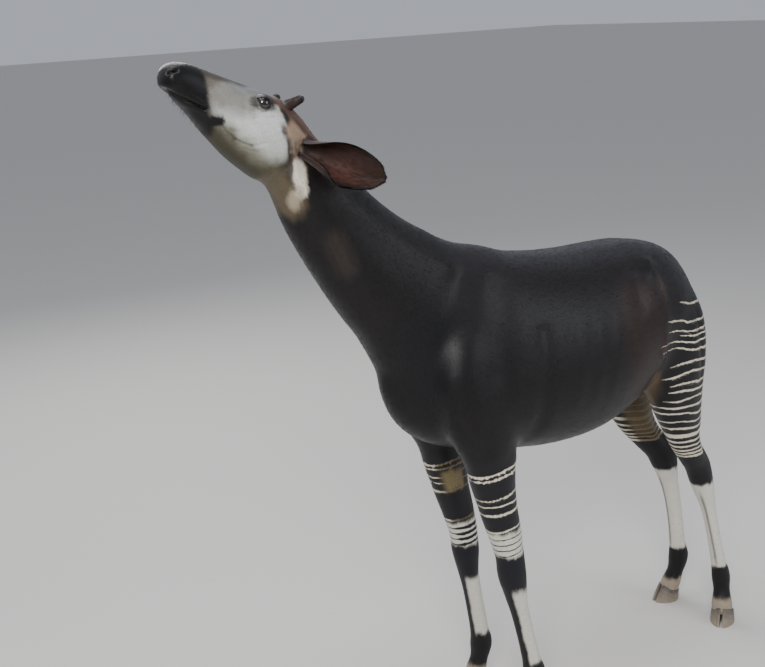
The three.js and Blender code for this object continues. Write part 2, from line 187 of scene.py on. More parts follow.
def pointsOf(obj):
    return readRows(obj.data.vertices, "co", 3).astype(float) - shift


def setPoints(obj, points):
    obj.data.vertices.foreach_set("co", (points + shift).astype(np.float32).ravel())
    obj.data.update()


def normalsOf(obj):
    return readRows(obj.data.vertex_normals, "vector", 3).astype(float)


def setNumber(obj, name, values):
    layer = obj.data.attributes.new(name, "FLOAT", "POINT")
    layer.data.foreach_set("value", values.astype(np.float32))


def setColour(obj, name, colours):
    layer = obj.data.color_attributes.new(name, "FLOAT_COLOR", "POINT")
    rgba = np.ones((len(colours), 4), np.float32)
    rgba[:, :3] = colours
    layer.data.foreach_set("color", rgba.ravel())


def bake(obj):
    # replaces the piece's mesh by what its modifiers make
    graph = bpy.context.evaluated_depsgraph_get()
    mesh = bpy.data.meshes.new_from_object(obj.evaluated_get(graph))
    old = obj.data
    obj.modifiers.clear()
    obj.data = mesh
    mesh.name = obj.name
    bpy.data.meshes.remove(old)


# Camera, floor and light
view = {
    "azimuth": -36.5, "elevation": 15.2, "roll": -3.0, "lens": 57.41,
    "place": (-2.6274, -2.5861, 2.1785),
}


def makeCamera():
    az, el, roll = (math.radians(view[k]) for k in ("azimuth", "elevation", "roll"))
    ahead = np.array([-math.sin(az) * math.cos(el), math.cos(az) * math.cos(el),
                      -math.sin(el)])
    right = unit(np.cross(ahead, [0, 0, 1.0]))
    up = np.cross(right, ahead)
    rolledRight = math.cos(roll) * right + math.sin(roll) * up
    rolledUp = -math.sin(roll) * right + math.cos(roll) * up
    data = bpy.data.cameras.new("camera")
    data.lens = view["lens"]
    data.sensor_width = 36
    camera = added("camera", data)
    turn = Matrix((rolledRight, rolledUp, -ahead)).transposed().to_4x4()
    camera.matrix_world = Matrix.Translation(Vector(np.array(view["place"]) + shift)) @ turn
    bpy.context.scene.camera = camera


stage = {
    "floorHalf": 60, "floorColour": (0.60, 0.585, 0.56, 1), "floorRoughness": 0.9,
    "skyColour": (0.86, 0.90, 1.0, 1), "skyStrength": 0.5,
    # each lamp: place, point it faces, size, watts, colour
    "lamps": [((-3.4, -3.6, 4.2), (0.0, 0, 1.1), 2.0, 260, (1.0, 0.97, 0.93)),
              ((2.8, -4.2, 2.8), (0.2, 0, 1.0), 2.6, 70, (0.90, 0.95, 1.0)),
              ((0.6, 4.4, 3.8), (0.0, 0, 1.1), 3.0, 120, (1.0, 0.98, 0.95)),
              ((-1.0, 0.0, 5.2), (-0.2, 0, 1.0), 3.0, 130, (0.93, 0.96, 1.0))],
}


def makeStage():
    side = np.linspace(-stage["floorHalf"], stage["floorHalf"], 3)
    x, y = np.meshgrid(side, side, indexing="ij")
    floor = makeMesh("floor", np.stack([x, y, 0 * x], -1).reshape(-1, 3),
                     gridFaces(3, 3, False))
    floor.data.materials.append(plainLook("floorLook", stage["floorColour"], stage["floorRoughness"]))
    world = bpy.data.worlds.new("world")
    bpy.context.scene.world = world
    world.use_nodes = True
    sky = world.node_tree.nodes["Background"]
    sky.inputs[0].default_value = stage["skyColour"]
    sky.inputs[1].default_value = stage["skyStrength"]
    for i, (place, aim, width, watts, colour) in enumerate(stage["lamps"]):
        data = bpy.data.lights.new(f"lamp{i}", "AREA")
        data.size = width
        data.energy = watts
        data.color = colour
        lamp = added(f"lamp{i}", data)
        towards = Vector(aim) - Vector(place)
        lamp.rotation_euler = towards.to_track_quat("-Z", "Y").to_euler()
        lamp.location = Vector(place)


def newLook(name):
    # a material with its node tree and its main shader
    look = bpy.data.materials.new(name)
    look.use_nodes = True
    return look, look.node_tree, look.node_tree.nodes["Principled BSDF"]


def plainLook(name, colour, roughness):
    look, tree, shader = newLook(name)
    shader.inputs["Base Color"].default_value = colour
    shader.inputs["Roughness"].default_value = roughness
    return look


# The animal's shape, from the same sizes as its solids (millimetres)
form = {
    "coatDepth": 1.6,
    # trunk, neck and head: top x, z, bottom x, z, half width, power, taper
    "trunk": [
        [-730, 1192, -730, 1188, 2, 2, 0], [-717, 1254, -717, 1118, 34, 2, 0],
        [-676, 1362, -676, 1034, 78, 2.1, 0.04], [-604, 1462, -604, 966, 128, 2.2, 0.14],
        [-510, 1514, -510, 924, 172, 2.2, 0.26], [-400, 1509, -400, 896, 204, 2.2, 0.24],
        [-270, 1466, -270, 866, 228, 2.2, 0.16], [-130, 1441, -130, 847, 243, 2.15, 0.08],
        [0, 1430, 0, 850, 246, 2.15, 0.06], [120, 1426, 120, 878, 236, 2.15, 0.02],
        [230, 1420, 230, 924, 214, 2.2, -0.02], [320, 1406, 320, 955, 194, 2.2, 0],
        [390, 1380, 390, 980, 166, 2.1, 0.06], [445, 1338, 445, 1008, 132, 2, 0.08],
        [490, 1284, 490, 1046, 96, 2, 0], [518, 1226, 518, 1100, 56, 2, 0],
        [526, 1170, 526, 1166, 2, 2, 0]],
    "neck": [
        [-380, 1380, -560, 1050, 60, 2, 0], [-420, 1500, -666, 1094, 110, 2.1, 0.04],
        [-482, 1534, -733, 1200, 114, 2.1, 0.04], [-545, 1564, -784, 1294, 108, 2.1, 0.06],
        [-612, 1600, -852, 1391, 101, 2.1, 0.08], [-682, 1648, -920, 1496, 92, 2.05, 0.06],
        [-752, 1708, -980, 1601, 85, 2.05, 0.05], [-822, 1784, -1022, 1694, 80, 2.05, 0.05],
        [-884, 1848, -1046, 1756, 73, 2, 0.05], [-940, 1870, -1040, 1800, 40, 2, 0]],
    "head": [
        [-862, 1806, -900, 1772, 20, 2, 0], [-890, 1852, -972, 1754, 62, 2, 0],
        [-928, 1896, -1030, 1752, 80, 2.1, 0.02], [-966, 1936, -1074, 1768, 85, 2.2, 0.0],
        [-1008, 1968, -1112, 1797, 86, 2.3, -0.04], [-1056, 1990, -1150, 1830, 80, 2.3, -0.03],
        [-1106, 2010, -1184, 1866, 68, 2.2, 0.0], [-1156, 2031, -1216, 1903, 56, 2.2, 0.04],
        [-1204, 2051, -1244, 1940, 47, 2.2, 0.04], [-1246, 2067, -1270, 1972, 43, 2.2, 0.0],
        [-1282, 2070, -1292, 1994, 39, 2.2, 0.0], [-1304, 2058, -1307, 2012, 30, 2.1, 0],
        [-1313, 2038, -1313, 2032, 4, 2, 0]],
    # limbs: centre x, y, z, half sizes to the front, back, outside and inside, turn
    "foreleg": [
        [-490, 86, 1330, 60, 60, 44, 44, 0], [-502, 110, 1240, 104, 122, 68, 60, 0],
        [-508, 122, 1140, 118, 140, 74, 70, 0], [-492, 130, 1050, 114, 134, 72, 72, 0],
        [-470, 134, 970, 100, 110, 64, 66, 0], [-455, 134, 900, 84, 88, 58, 58, 0],
        [-443, 133, 825, 72, 70, 54, 52, 0], [-424, 132, 740, 61, 58, 47, 45, 0],
        [-400, 132, 655, 54, 51, 43, 41, 0], [-385, 131, 580, 47, 45, 41, 39, 2],
        [-376, 131, 516, 45, 41, 43, 41, 4], [-368, 132, 456, 36, 38, 36, 35, 5],
        [-350, 132, 380, 30, 34, 28, 28, 6], [-328, 132, 290, 29, 34, 27, 27, 8],
        [-309, 133, 205, 30, 36, 29, 29, 8], [-301, 134, 153, 34, 39, 35, 35, 9],
        [-309, 135, 108, 27, 31, 31, 31, 9], [-322, 136, 66, 31, 33, 37, 37, 9],
        [-333, 137, 26, 28, 30, 35, 35, 9]],
    "hindleg": [
        [300, 70, 1330, 60, 60, 40, 40, 0], [306, 94, 1250, 120, 130, 68, 60, 0],
        [318, 108, 1160, 146, 160, 80, 78, 0], [334, 114, 1070, 148, 166, 84, 88, 2],
        [352, 116, 985, 132, 146, 80, 84, 4], [374, 116, 900, 110, 118, 73, 74, 6],
        [402, 112, 820, 88, 84, 61, 62, 8], [432, 105, 745, 72, 62, 50, 50, 10],
        [473, 96, 675, 58, 50, 42, 42, 12], [512, 88, 615, 48, 56, 38, 38, 14],
        [538, 86, 562, 46, 52, 39, 39, 16], [557, 88, 505, 39, 38, 35, 35, 18],
        [578, 92, 430, 31, 35, 26, 26, 20], [601, 97, 330, 29, 34, 24, 24, 22],
        [623, 102, 225, 30, 36, 26, 26, 24], [636, 106, 158, 34, 40, 33, 33, 26],
        [632, 114, 110, 27, 32, 30, 30, 28], [622, 124, 66, 31, 34, 37, 37, 28],
        [616, 132, 26, 28, 30, 35, 35, 28]],
    # at each height, how each leg's stance shifts x, moves out and turns
    "stances": {
        "foreleg_left": [[0, 0, 0, 0], [1400, 0, 0, 0]],
        "foreleg_right": [[0, 2, -18, -3], [150, 2, -18, -3], [290, 6, -24, 0],
                          [520, 18, -32, 0], [900, 18, -30, 0], [1150, 4, -6, 0],
                          [1400, 0, 0, 0]],
        "hindleg_left": [[0, 0, 6, 4], [560, 0, 6, 0], [1000, 0, 0, 0], [1400, 0, 0, 0]],
        "hindleg_right": [[0, -16, -26, -18], [66, -2, -26, -18], [158, 5, -20, -14],
                          [300, 18, -14, -10], [520, 22, -4, -6], [700, 8, -2, 0],
                          [900, 0, 0, 0], [1400, 0, 0, 0]]},
    "tail": [
        [505, 0, 1262, 26, 26, 30, 30, 0], [535, 0, 1240, 27, 27, 28, 28, 0],
        [560, 0, 1190, 21, 21, 23, 23, 0], [574, 0, 1120, 16, 16, 17, 17, 0],
        [580, 0, 1040, 13, 13, 14, 14, 0], [582, 0, 920, 10, 10, 11, 11, 0]],
}
legNames = list(form["stances"])


def sideOf(name):
    return -1 if name.endswith("left") else 1


def sagittalTube(keys, sides, steps, inset):
    # rings round the middle plane: half height times a rounded square's cosine along the
    # line from bottom to top, half width times its sine across, narrowed by the taper
    keys = np.asarray(keys, float)
    t = np.linspace(0, len(keys) - 1, (len(keys) - 1) * steps + 1)
    tx, tz, bx, bz, width, power, taper = through(keys, t).T[..., None]
    tall = np.hypot(tx - bx, tz - bz) / 2
    upX, upZ = (tx - bx) / (2 * tall), (tz - bz) / (2 * tall)
    turn = circle(sides)[None]
    c, s = np.cos(turn), np.sin(turn)
    along = (tall - inset).clip(0.5) * np.sign(c) * np.abs(c) ** (2 / power)
    across = (width - inset).clip(0.5) * np.sign(s) * np.abs(s) ** (2 / power) * (1 - taper * c)
    rings = np.stack([(tx + bx) / 2 + upX * along, across + 0 * tx,
                      (tz + bz) / 2 + upZ * along], -1)
    return rings / 1000


def legKeys(name):
    # the leg's keys moved to its own stance, in millimetres
    keys = np.array(form[name.split("_")[0]], float)
    bends = np.array(form["stances"][name], float)
    dx, dy, turn = (np.interp(keys[:, 2], bends[:, 0], bends[:, n]) for n in (1, 2, 3))
    keys[:, 0] += dx
    keys[:, 1] = sideOf(name) * (keys[:, 1] + dy)
    keys[:, 7] += turn
    return keys


def limbFrames(keys, side, t):
    # middle, forward and outward directions of the limb at the parameters t
    middle = through(keys[:, :3], t)
    last = len(keys) - 1
    along = unit(through(keys[:, :3], np.clip(t + 0.25, 0, last))
                 - through(keys[:, :3], np.clip(t - 0.25, 0, last)))
    yaw = np.radians(through(keys[:, 7:8], t)[:, 0])
    forward = np.stack([-np.cos(yaw), side * np.sin(yaw), 0 * yaw], 1)
    forward = unit(forward - along * (forward * along).sum(1, keepdims=True))
    out = np.cross(along, forward)
    out *= np.sign(out[:, 1:2] * side + 1e-12)
    return middle, forward, out


def limbTube(keys, side, sides, steps, inset):
    # rings square to the limb's line, with their own half size on each of four sides
    keys = np.asarray(keys, float)
    t = np.linspace(0, len(keys) - 1, (len(keys) - 1) * steps + 1)
    middle, forward, out = limbFrames(keys, side, t)
    front, back, outside, inside = (through(keys[:, n:n + 1], t) - inset
                                    for n in (3, 4, 5, 6))
    turn = circle(sides)[None]
    c, s = np.cos(turn), np.sin(turn)
    a = np.where(c > 0, front, back) * np.sign(c) * np.abs(c) ** 0.93
    b = np.where(s > 0, outside, inside) * np.sign(s) * np.abs(s) ** 0.93
    rings = (middle[:, None] + forward[:, None] * a[..., None] + out[:, None] * b[..., None])
    return rings / 1000


# The skin: one closed surface over trunk, neck, head, legs, ears and dock
skinForm = {
    "voxel": 0.0048,
    "faces": 192000,
    # where the tubes run into each other: middle, reach, for both sides
    "blends": [((-0.50, 0.12, 1.16), 0.24), ((-0.45, 0.13, 0.96), 0.14),
               ((0.30, 0.13, 1.12), 0.26), ((0.36, 0.10, 0.94), 0.16),
               ((-0.62, 0.0, 1.30), 0.22), ((-0.46, 0.0, 1.50), 0.14),
               ((-1.00, 0.0, 1.75), 0.09), ((-0.90, 0.0, 1.86), 0.08),
               ((-0.95, 0.07, 1.82), 0.07), ((0.52, 0.0, 1.23), 0.07)],
    "muscleHeight": 0.8, "blendRounds": 130, "fineRounds": 6,
    # the legs' own forms end below this height (m), each fading over this much (mm)
    "legTop": 0.95, "legFade": 28,
    # muscles, bones and hollows: from, to, reach, height (all mm), for both sides
    "muscles": [
        [(-430, 105, 1440), (-560, 150, 1180), 30, 5],      # spine of the shoulder blade
        [(-400, 150, 1400), (-455, 190, 1170), 38, -4],     # hollow behind that spine
        [(-590, 135, 1150), (-560, 150, 1060), 46, 4],      # point of the shoulder
        [(-410, 185, 1120), (-430, 185, 980), 52, 5],       # triceps
        [(-300, 205, 1260), (-330, 200, 930), 26, -7],      # crease behind the elbow
        [(-520, 178, 1030), (-520, 180, 930), 20, -4],
        [(-640, 60, 1250), (-600, 110, 1080), 34, -5],      # groove of the breast
        [(-400, 170, 905), (-385, 175, 900), 24, 5],        # point of the elbow
        [(-560, 90, 1480), (-860, 70, 1690), 34, 4],        # neck muscle
        [(-760, 60, 1340), (-1000, 62, 1690), 20, -4],      # jugular furrow
        [(200, 150, 1372), (182, 165, 1345), 24, 9],        # point of the hip
        # the ridge of the flank below is pale only through a painted highlight in the markings
        [(212, 195, 1310), (205, 215, 1060), 20, 4],        # pale ridge of the flank
        [(120, 190, 1345), (100, 215, 1290), 34, -9],       # pit before the hip
        [(90, 225, 1240), (150, 225, 1110), 44, -4],
        [(240, 190, 985), (300, 170, 900), 26, 5],          # stifle
        [(190, 200, 985), (240, 160, 925), 20, -6],         # groin fold
        [(330, 195, 1200), (380, 190, 1010), 60, 5],        # thigh
        [(440, 165, 1180), (440, 165, 1000), 30, 4],
        [(395, 190, 1230), (420, 185, 960), 14, -4],        # groove of the hamstrings
        [(-150, 225, 1330), (-200, 240, 1000), 24, 1.8],    # ribs
        [(-80, 232, 1330), (-130, 248, 990), 22, 1.8],
        [(-10, 235, 1330), (-60, 250, 990), 22, 1.6],
        [(-200, 60, 1462), (240, 50, 1424), 26, 4],         # muscle beside the spine
    ],
    # the same down each leg, by height: direction (0 front, 90 outside, 180 back, 270
    # inside), from z to z, width in degrees, height in mm
    "legForms": {
        "foreleg": [(0, 740, 600, 40, 2.5), (95, 880, 700, 45, 4), (180, 620, 560, 34, 2),
                    (150, 440, 200, 24, -3.2), (215, 440, 200, 24, -3.2),
                    (180, 430, 210, 20, 3.0), (0, 560, 470, 36, 3.5), (60, 560, 500, 26, 2),
                    (300, 560, 500, 26, 2), (130, 640, 580, 24, -2.5), (180, 190, 150, 50, 4)],
        "hindleg": [(180, 800, 640, 26, 3), (140, 760, 630, 26, -6.5), (220, 760, 630, 26, -6.5),
                    (180, 640, 590, 30, 5), (150, 480, 210, 24, -3.2), (210, 480, 210, 24, -3.2),
                    (180, 470, 220, 20, 3.0), (0, 590, 530, 34, 3), (70, 590, 500, 26, 2.5),
                    (290, 590, 500, 26, 2.5), (180, 195, 155, 50, 4), (20, 830, 700, 30, 2.5)],
    },
}


def edgesOf(obj):
    return readRows(obj.data.edges, "vertices", 2, np.int32)


def relax(points, pairs, weight, rounds, rate=0.6):
    # each point moves by rate times its weight towards the mean of its neighbours
    count = len(points)
    a = np.concatenate([pairs[:, 0], pairs[:, 1]])
    b = np.concatenate([pairs[:, 1], pairs[:, 0]])
    busy = weight[a] > 0.004
    a, b = a[busy], b[busy]
    degree = np.maximum(np.bincount(a, minlength=count), 1)
    step = (rate * weight)[:, None]
    for _ in range(rounds):
        mean = np.stack([np.bincount(a, points[b, n], count) for n in range(3)], 1)
        mean /= degree[:, None]
        points = points + step * np.where(weight[:, None] > 0.004, mean - points, 0)
    return points


def legLocal(points, name):
    # for points near one leg: how far round it they lie in degrees, 0 in front, 90
    # outside, and their distance from its middle line
    keys = legKeys(name)
    side = sideOf(name)
    order = np.argsort(keys[:, 2])
    z = points[:, 2] * 1000
    middle = np.stack([np.interp(z, keys[order, 2], keys[order, n]) for n in (0, 1)], 1) / 1000
    yaw = np.radians(np.interp(z, keys[order, 2], keys[order, 7]))
    off = points[:, :2] - middle
    ahead = -off[:, 0] * np.cos(yaw) + side * off[:, 1] * np.sin(yaw)
    out = off[:, 0] * np.sin(yaw) + side * off[:, 1] * np.cos(yaw)
    return np.degrees(np.arctan2(out, ahead)) % 360, np.hypot(ahead, out)


# where the legs' surface lies (metres): fore and hind part at this x, each starts beyond
# its own x and below its own height, and the dock between the thighs is left out
legZone = {
    "split": -0.05, "foreX": -0.27, "hindX": 0.16, "foreTop": 0.93, "hindTop": 1.27,
    "dockX": 0.50, "dockZ": 0.92, "dockHalf": 0.036,
}


def legOf(points):
    # which leg each point belongs to, -1 for none
    x, y, z = points.T
    fore = x < legZone["split"]
    under = np.where(fore, (z < legZone["foreTop"]) & (x < legZone["foreX"]),
                     (z < legZone["hindTop"]) & (x > legZone["hindX"]))
    dock = (x >= legZone["dockX"]) & (z >= legZone["dockZ"])
    under &= ~(dock & (np.abs(y) <= legZone["dockHalf"]))
    return np.where(under, np.where(fore, 0, 2) + (y > 0), -1)


# Head parts (millimetres)
face = {
    "eyeCentre": (-1082, 65, 1960), "eyeRadius": 20.5,
    "eyeForward": (-0.79, 0, 0.61), "eyeLook": (-0.2, 1, 0.06),
    "back": -0.93,      # the face's own forms lie before this x (metres)
    # the socket: half angles full and faded (degrees), its floor and reach (metres)
    "socket": (52, 74), "socketFloor": 0.0165, "socketReach": 0.045,
    # face forms: from, to, reach, height, for both sides
    "forms": [
        [(-1080, 74, 1960), (-1084, 74, 1958), 31, 7.5],    # the eye's bulge
        [(-1075, 74, 1985), (-1110, 70, 1990), 13, 3.5],    # brow
        [(-1112, 72, 1935), (-1185, 52, 1965), 13, 3.0],    # crest of the cheek bone
        [(-1130, 66, 1975), (-1175, 50, 2010), 16, -3.0],   # hollow before the eye
        [(-1030, 82, 1850), (-1075, 80, 1850), 34, 4.5],    # jaw muscle
        [(-1197, 50, 1922), (-1159, 57, 1880), 4.0, -4.2],  # crease of the cheek
        [(-1159, 57, 1880), (-1122, 68, 1862), 4.0, -4.4],
        [(-1122, 68, 1862), (-1088, 78, 1868), 4.0, -2.6],
        [(-1178, 54, 1888), (-1140, 62, 1858), 4.0, -2.0],
        [(-1140, 62, 1858), (-1108, 70, 1848), 4.0, -2.4],
        [(-1186, 54, 1912), (-1150, 62, 1898), 5.0, -1.8],
        [(-1122, 70, 1985), (-1130, 66, 1950), 7.0, -2.2],
        [(-1062, 80, 1925), (-1112, 74, 1927), 4.0, -3.0],  # fold under the eye
        [(-1040, 84, 1905), (-1022, 82, 1840), 7, -4.5],    # fold behind the cheek
        [(-1022, 82, 1840), (-1004, 66, 1760), 8, -5],
        [(-1012, 74, 1800), (-990, 66, 1730), 12, 3],
        [(-1290, 30, 2062), (-1262, 34, 2062), 9, 2.5],     # rim of the nostril
        [(-1292, 28, 2040), (-1290, 34, 2020), 8, 2.0],
        [(-1262, 40, 1995), (-1228, 44, 1968), 7, 2.5],     # upper lip
        [(-1300, 24, 1990), (-1268, 34, 1966), 8, 3],       # lower lip
    ],
    "nostril": [(-1303, 25, 2046), (-1282, 35, 2052), 3.6, -7.5],
    "mouth": [[-1330, 0, 2024], [-1312, 20, 2014], [-1288, 34, 1997], [-1256, 41, 1977],
              [-1224, 46, 1959]],
    "mouthReach": 2.6, "mouthDepth": 5.5, "lipHeight": 1.6, "lipAway": 8, "lipReach": 5,
}


def formHeight(half, forms, times=1):
    # the sum over the forms of each height times a Gaussian of the distance to its line
    height = np.zeros(len(half))
    for a, b, reach, tall in forms:
        far, _ = toSegment(half * 1000, a, b)
        height += times * tall * np.exp(-(far / reach) ** 2)
    return height


def lipDistance(half):
    # how far each point lies from the mouth's line, seen from the side, in millimetres
    line = np.array(face["mouth"], float) * [1, 0, 1]
    flat = half * [1000, 0, 1000]
    return np.min([toSegment(flat, a, b)[0] for a, b in zip(line[:-1], line[1:])], axis=0)


def shapeFace(points, normals):
    # raises the face's forms along the surface, and sinks the nostrils, the mouth's line
    # and the eyes' sockets
    near = np.nonzero(points[:, 0] < face["back"])[0]
    half = mirrored(points[near])
    height = formHeight(half, face["forms"] + [face["nostril"]])
    lips = lipDistance(half)
    height -= face["mouthDepth"] * np.exp(-(lips / face["mouthReach"]) ** 2)
    height += face["lipHeight"] * np.exp(-((lips - face["lipAway"]) / face["lipReach"]) ** 2)
    p = points[near] + normals[near] * (height / 1000)[:, None]
    for side, _ in bothSides:
        centre, look = eyeFrame(side)[:2]
        off = p - centre
        far = np.linalg.norm(off, axis=1)
        angle = np.degrees(np.arccos(np.clip((off @ look) / np.maximum(far, 1e-9), -1, 1)))
        sink = (1 - soft(*face["socket"], angle)) * (far < face["socketReach"])
        move = (np.minimum(far, face["socketFloor"]) - far) * sink
        p = p + off / np.maximum(far, 1e-9)[:, None] * move[:, None]
    points = points.copy()
    points[near] = p
    return points


def shapeBody(points, normals):
    # raises the muscles on both sides, and the forms that run down each leg, each a height
    # times a Gaussian of the angle round the leg
    height = formHeight(mirrored(points), skinForm["muscles"], skinForm["muscleHeight"])
    owner = legOf(points)
    for k, name in enumerate(legNames):
        mine = np.nonzero((owner == k) & (points[:, 2] < skinForm["legTop"]))[0]
        angle, _ = legLocal(points[mine], name)
        z = points[mine, 2] * 1000
        for turn, top, low, width, tall in skinForm["legForms"][name.split("_")[0]]:
            off = np.abs((angle - turn + 180) % 360 - 180)
            fade = band(low, top, skinForm["legFade"], z)
            height[mine] += tall * np.exp(-(off / width) ** 2) * fade
    return points + normals * (height / 1000)[:, None]


# Ears (millimetres, the keys give radius and half angle from root to tip)
earForm = {
    "base": (-965, 78, 1836), "tip": (-800, 176, 1748), "open": (-0.42, 0.86, 0.02),
    "length": 204, "root": 26, "thick": 4.2,
    # how much fuller the lower rim is, where along the ear and over what share of it
    "fuller": 0.48, "fullerAt": 0.34, "fullerReach": 0.19,
    "keys": [[20, 150], [25, 132], [33, 108], [43, 90], [51, 76], [56, 66], [57, 58],
             [55, 49], [50, 37], [43, 5]],
    # the stump on the head that the shell is fused to, as a short limb
    "stub": [[-950, 66, 1842, 24, 24, 22, 22, 0], [-940, 78, 1832, 21, 21, 20, 20, 0],
             [-924, 86, 1823, 14, 14, 14, 14, 0]],
}


def earFrame(side):
    base, tip = placed(earForm["base"], side), placed(earForm["tip"], side)
    axis = unit(tip - base)
    mouth = np.array(earForm["open"], float) * [1, side, 1]
    mouth = unit(mouth - axis * (mouth @ axis))
    return base, axis, mouth, np.cross(axis, mouth)


def earPoint(side, t, v, offset):
    # an arc across the ear at t from root to tip, v from -1 to 1 round it: the radius and
    # half angle come from the keys, offset is outwards through the ear's wall
    base, axis, mouth, across = earFrame(side)
    keys = through(earForm["keys"], t * (len(earForm["keys"]) - 1))
    radius = keys[..., 0] / 1000
    half = np.radians(np.maximum(keys[..., 1], 1.5))
    size = radius + offset
    lower = soft(0, 1, -v * np.sign(across[2]))
    swell = np.exp(-((t - earForm["fullerAt"]) / earForm["fullerReach"]) ** 2)
    half = half * (1 + earForm["fuller"] * lower * swell)
    turn = half * v
    reach = (earForm["length"] + earForm["root"]) / 1000
    return (base + axis * (reach * t - earForm["root"] / 1000)[..., None]
            + across * (size * np.sin(turn))[..., None]
            + mouth * (radius - size * np.cos(turn))[..., None])


def earShell(side, rows=56, cols=40):
    # inner and outer arcs joined round the rims and gathered at the root and tip
    t = np.linspace(0, 1, rows)[:, None] ** 0.9
    v = np.linspace(-1, 1, cols)[None]
    wall = earForm["thick"] / 1000 * (1 - 0.45 * t) * (1 - 0.55 * np.abs(v) ** 3) / 2
    wave = 0.0012 * np.sin(9 * t + 3 * v) * t
    outer = earPoint(side, t + 0 * v, v + 0 * t, wall + wave)
    inner = earPoint(side, t + 0 * v, v + 0 * t, -wall + wave)
    return tube(np.concatenate([outer, inner[:, ::-1]], 1))


def fuseTubes():
    # every tube and the ears' stumps, remeshed as one closed surface
    inset = form["coatDepth"]
    parts = [tube(sagittalTube(form[k], 96, 10, inset)) for k in ("trunk", "neck", "head")]
    parts += [tube(limbTube(legKeys(n), sideOf(n), 48, 8, inset)) for n in legNames]
    parts.append(tube(limbTube(form["tail"], -1, 24, 8, inset)))
    for side, _ in bothSides:
        stub = np.array(earForm["stub"], float)
        stub[:, 1] *= side
        parts.append(tube(limbTube(stub, side, 24, 8, 0)))
    skin = makeMesh("skin", *joined(parts))
    remesh = skin.modifiers.new("fuse", "REMESH")
    remesh.mode = "VOXEL"
    remesh.voxel_size = skinForm["voxel"]
    bake(skin)
    print("skin fused:", len(skin.data.vertices), "points")
    return skin


def roundBody(skin):
    # the joins are relaxed, then the whole surface a little, before and after the muscles
    points, pairs = pointsOf(skin), edgesOf(skin)
    half, whole = mirrored(points), np.ones(len(points))
    weight = np.zeros(len(points))
    for middle, reach in skinForm["blends"]:
        far = np.linalg.norm(half - middle, axis=1)
        weight = np.maximum(weight, 1 - soft(0.45 * reach, reach, far))
    points = relax(points, pairs, weight, skinForm["blendRounds"])
    points = relax(points, pairs, whole, skinForm["fineRounds"], 0.5)
    setPoints(skin, points)
    points = shapeBody(points, normalsOf(skin))
    setPoints(skin, relax(points, pairs, whole, 2, 0.5))
    print("skin shaped")


def refineHead(skin):
    # finer faces on the head, then its own forms
    work = bmesh.new()
    work.from_mesh(skin.data)
    low = face["back"] + shift[0]
    edges = [e for e in work.edges if e.verts[0].co.x < low and e.verts[1].co.x < low]
    bmesh.ops.subdivide_edges(work, edges=edges, cuts=1, use_grid_fill=True, smooth=0.0)
    bmesh.ops.triangulate(work, faces=work.faces)
    work.to_mesh(skin.data)
    work.free()
    points, pairs = pointsOf(skin), edgesOf(skin)
    onHead = soft(-0.90, -0.96, points[:, 0])
    points = relax(points, pairs, onHead, 4, 0.5)
    setPoints(skin, points)
    points = shapeFace(points, normalsOf(skin))
    setPoints(skin, relax(points, pairs, onHead, 1, 0.4))
    print("face shaped:", len(points), "points")


def fuseEars(skin):
    # the ears' shells are fused to the head and their roots rounded
    for side, _ in bothSides:
        ear = makeMesh("earShell", *earShell(side))
        outward(ear)
        fuse = skin.modifiers.new("ear", "BOOLEAN")
        fuse.operation = "UNION"
        fuse.solver = "MANIFOLD"
        fuse.object = ear
        bake(skin)
        bpy.data.objects.remove(ear)
    points = pointsOf(skin)
    far = np.linalg.norm(mirrored(points) - placed(earForm["base"], 1), axis=1)
    setPoints(skin, relax(points, edgesOf(skin), 1 - soft(0.016, 0.034, far), 8, 0.5))
    print("ears on:", len(points), "points,", len(skin.data.polygons), "faces")


def makeSkin():
    skin = fuseTubes()
    roundBody(skin)
    refineHead(skin)
    fuseEars(skin)
    # fewer faces where the surface is smooth
    thin = skin.modifiers.new("thin", "DECIMATE")
    thin.ratio = skinForm["faces"] / len(skin.data.polygons)
    bake(skin)
    print("skin thinned:", len(skin.data.polygons), "faces")
    return skin


# Markings. Colours are given as seen (0 to 255) and turned into light
def light(*rgb):
    c = np.array(rgb, float) / 255
    return np.where(c < 0.04045, c / 12.92, ((c + 0.055) / 1.055) ** 2.4)


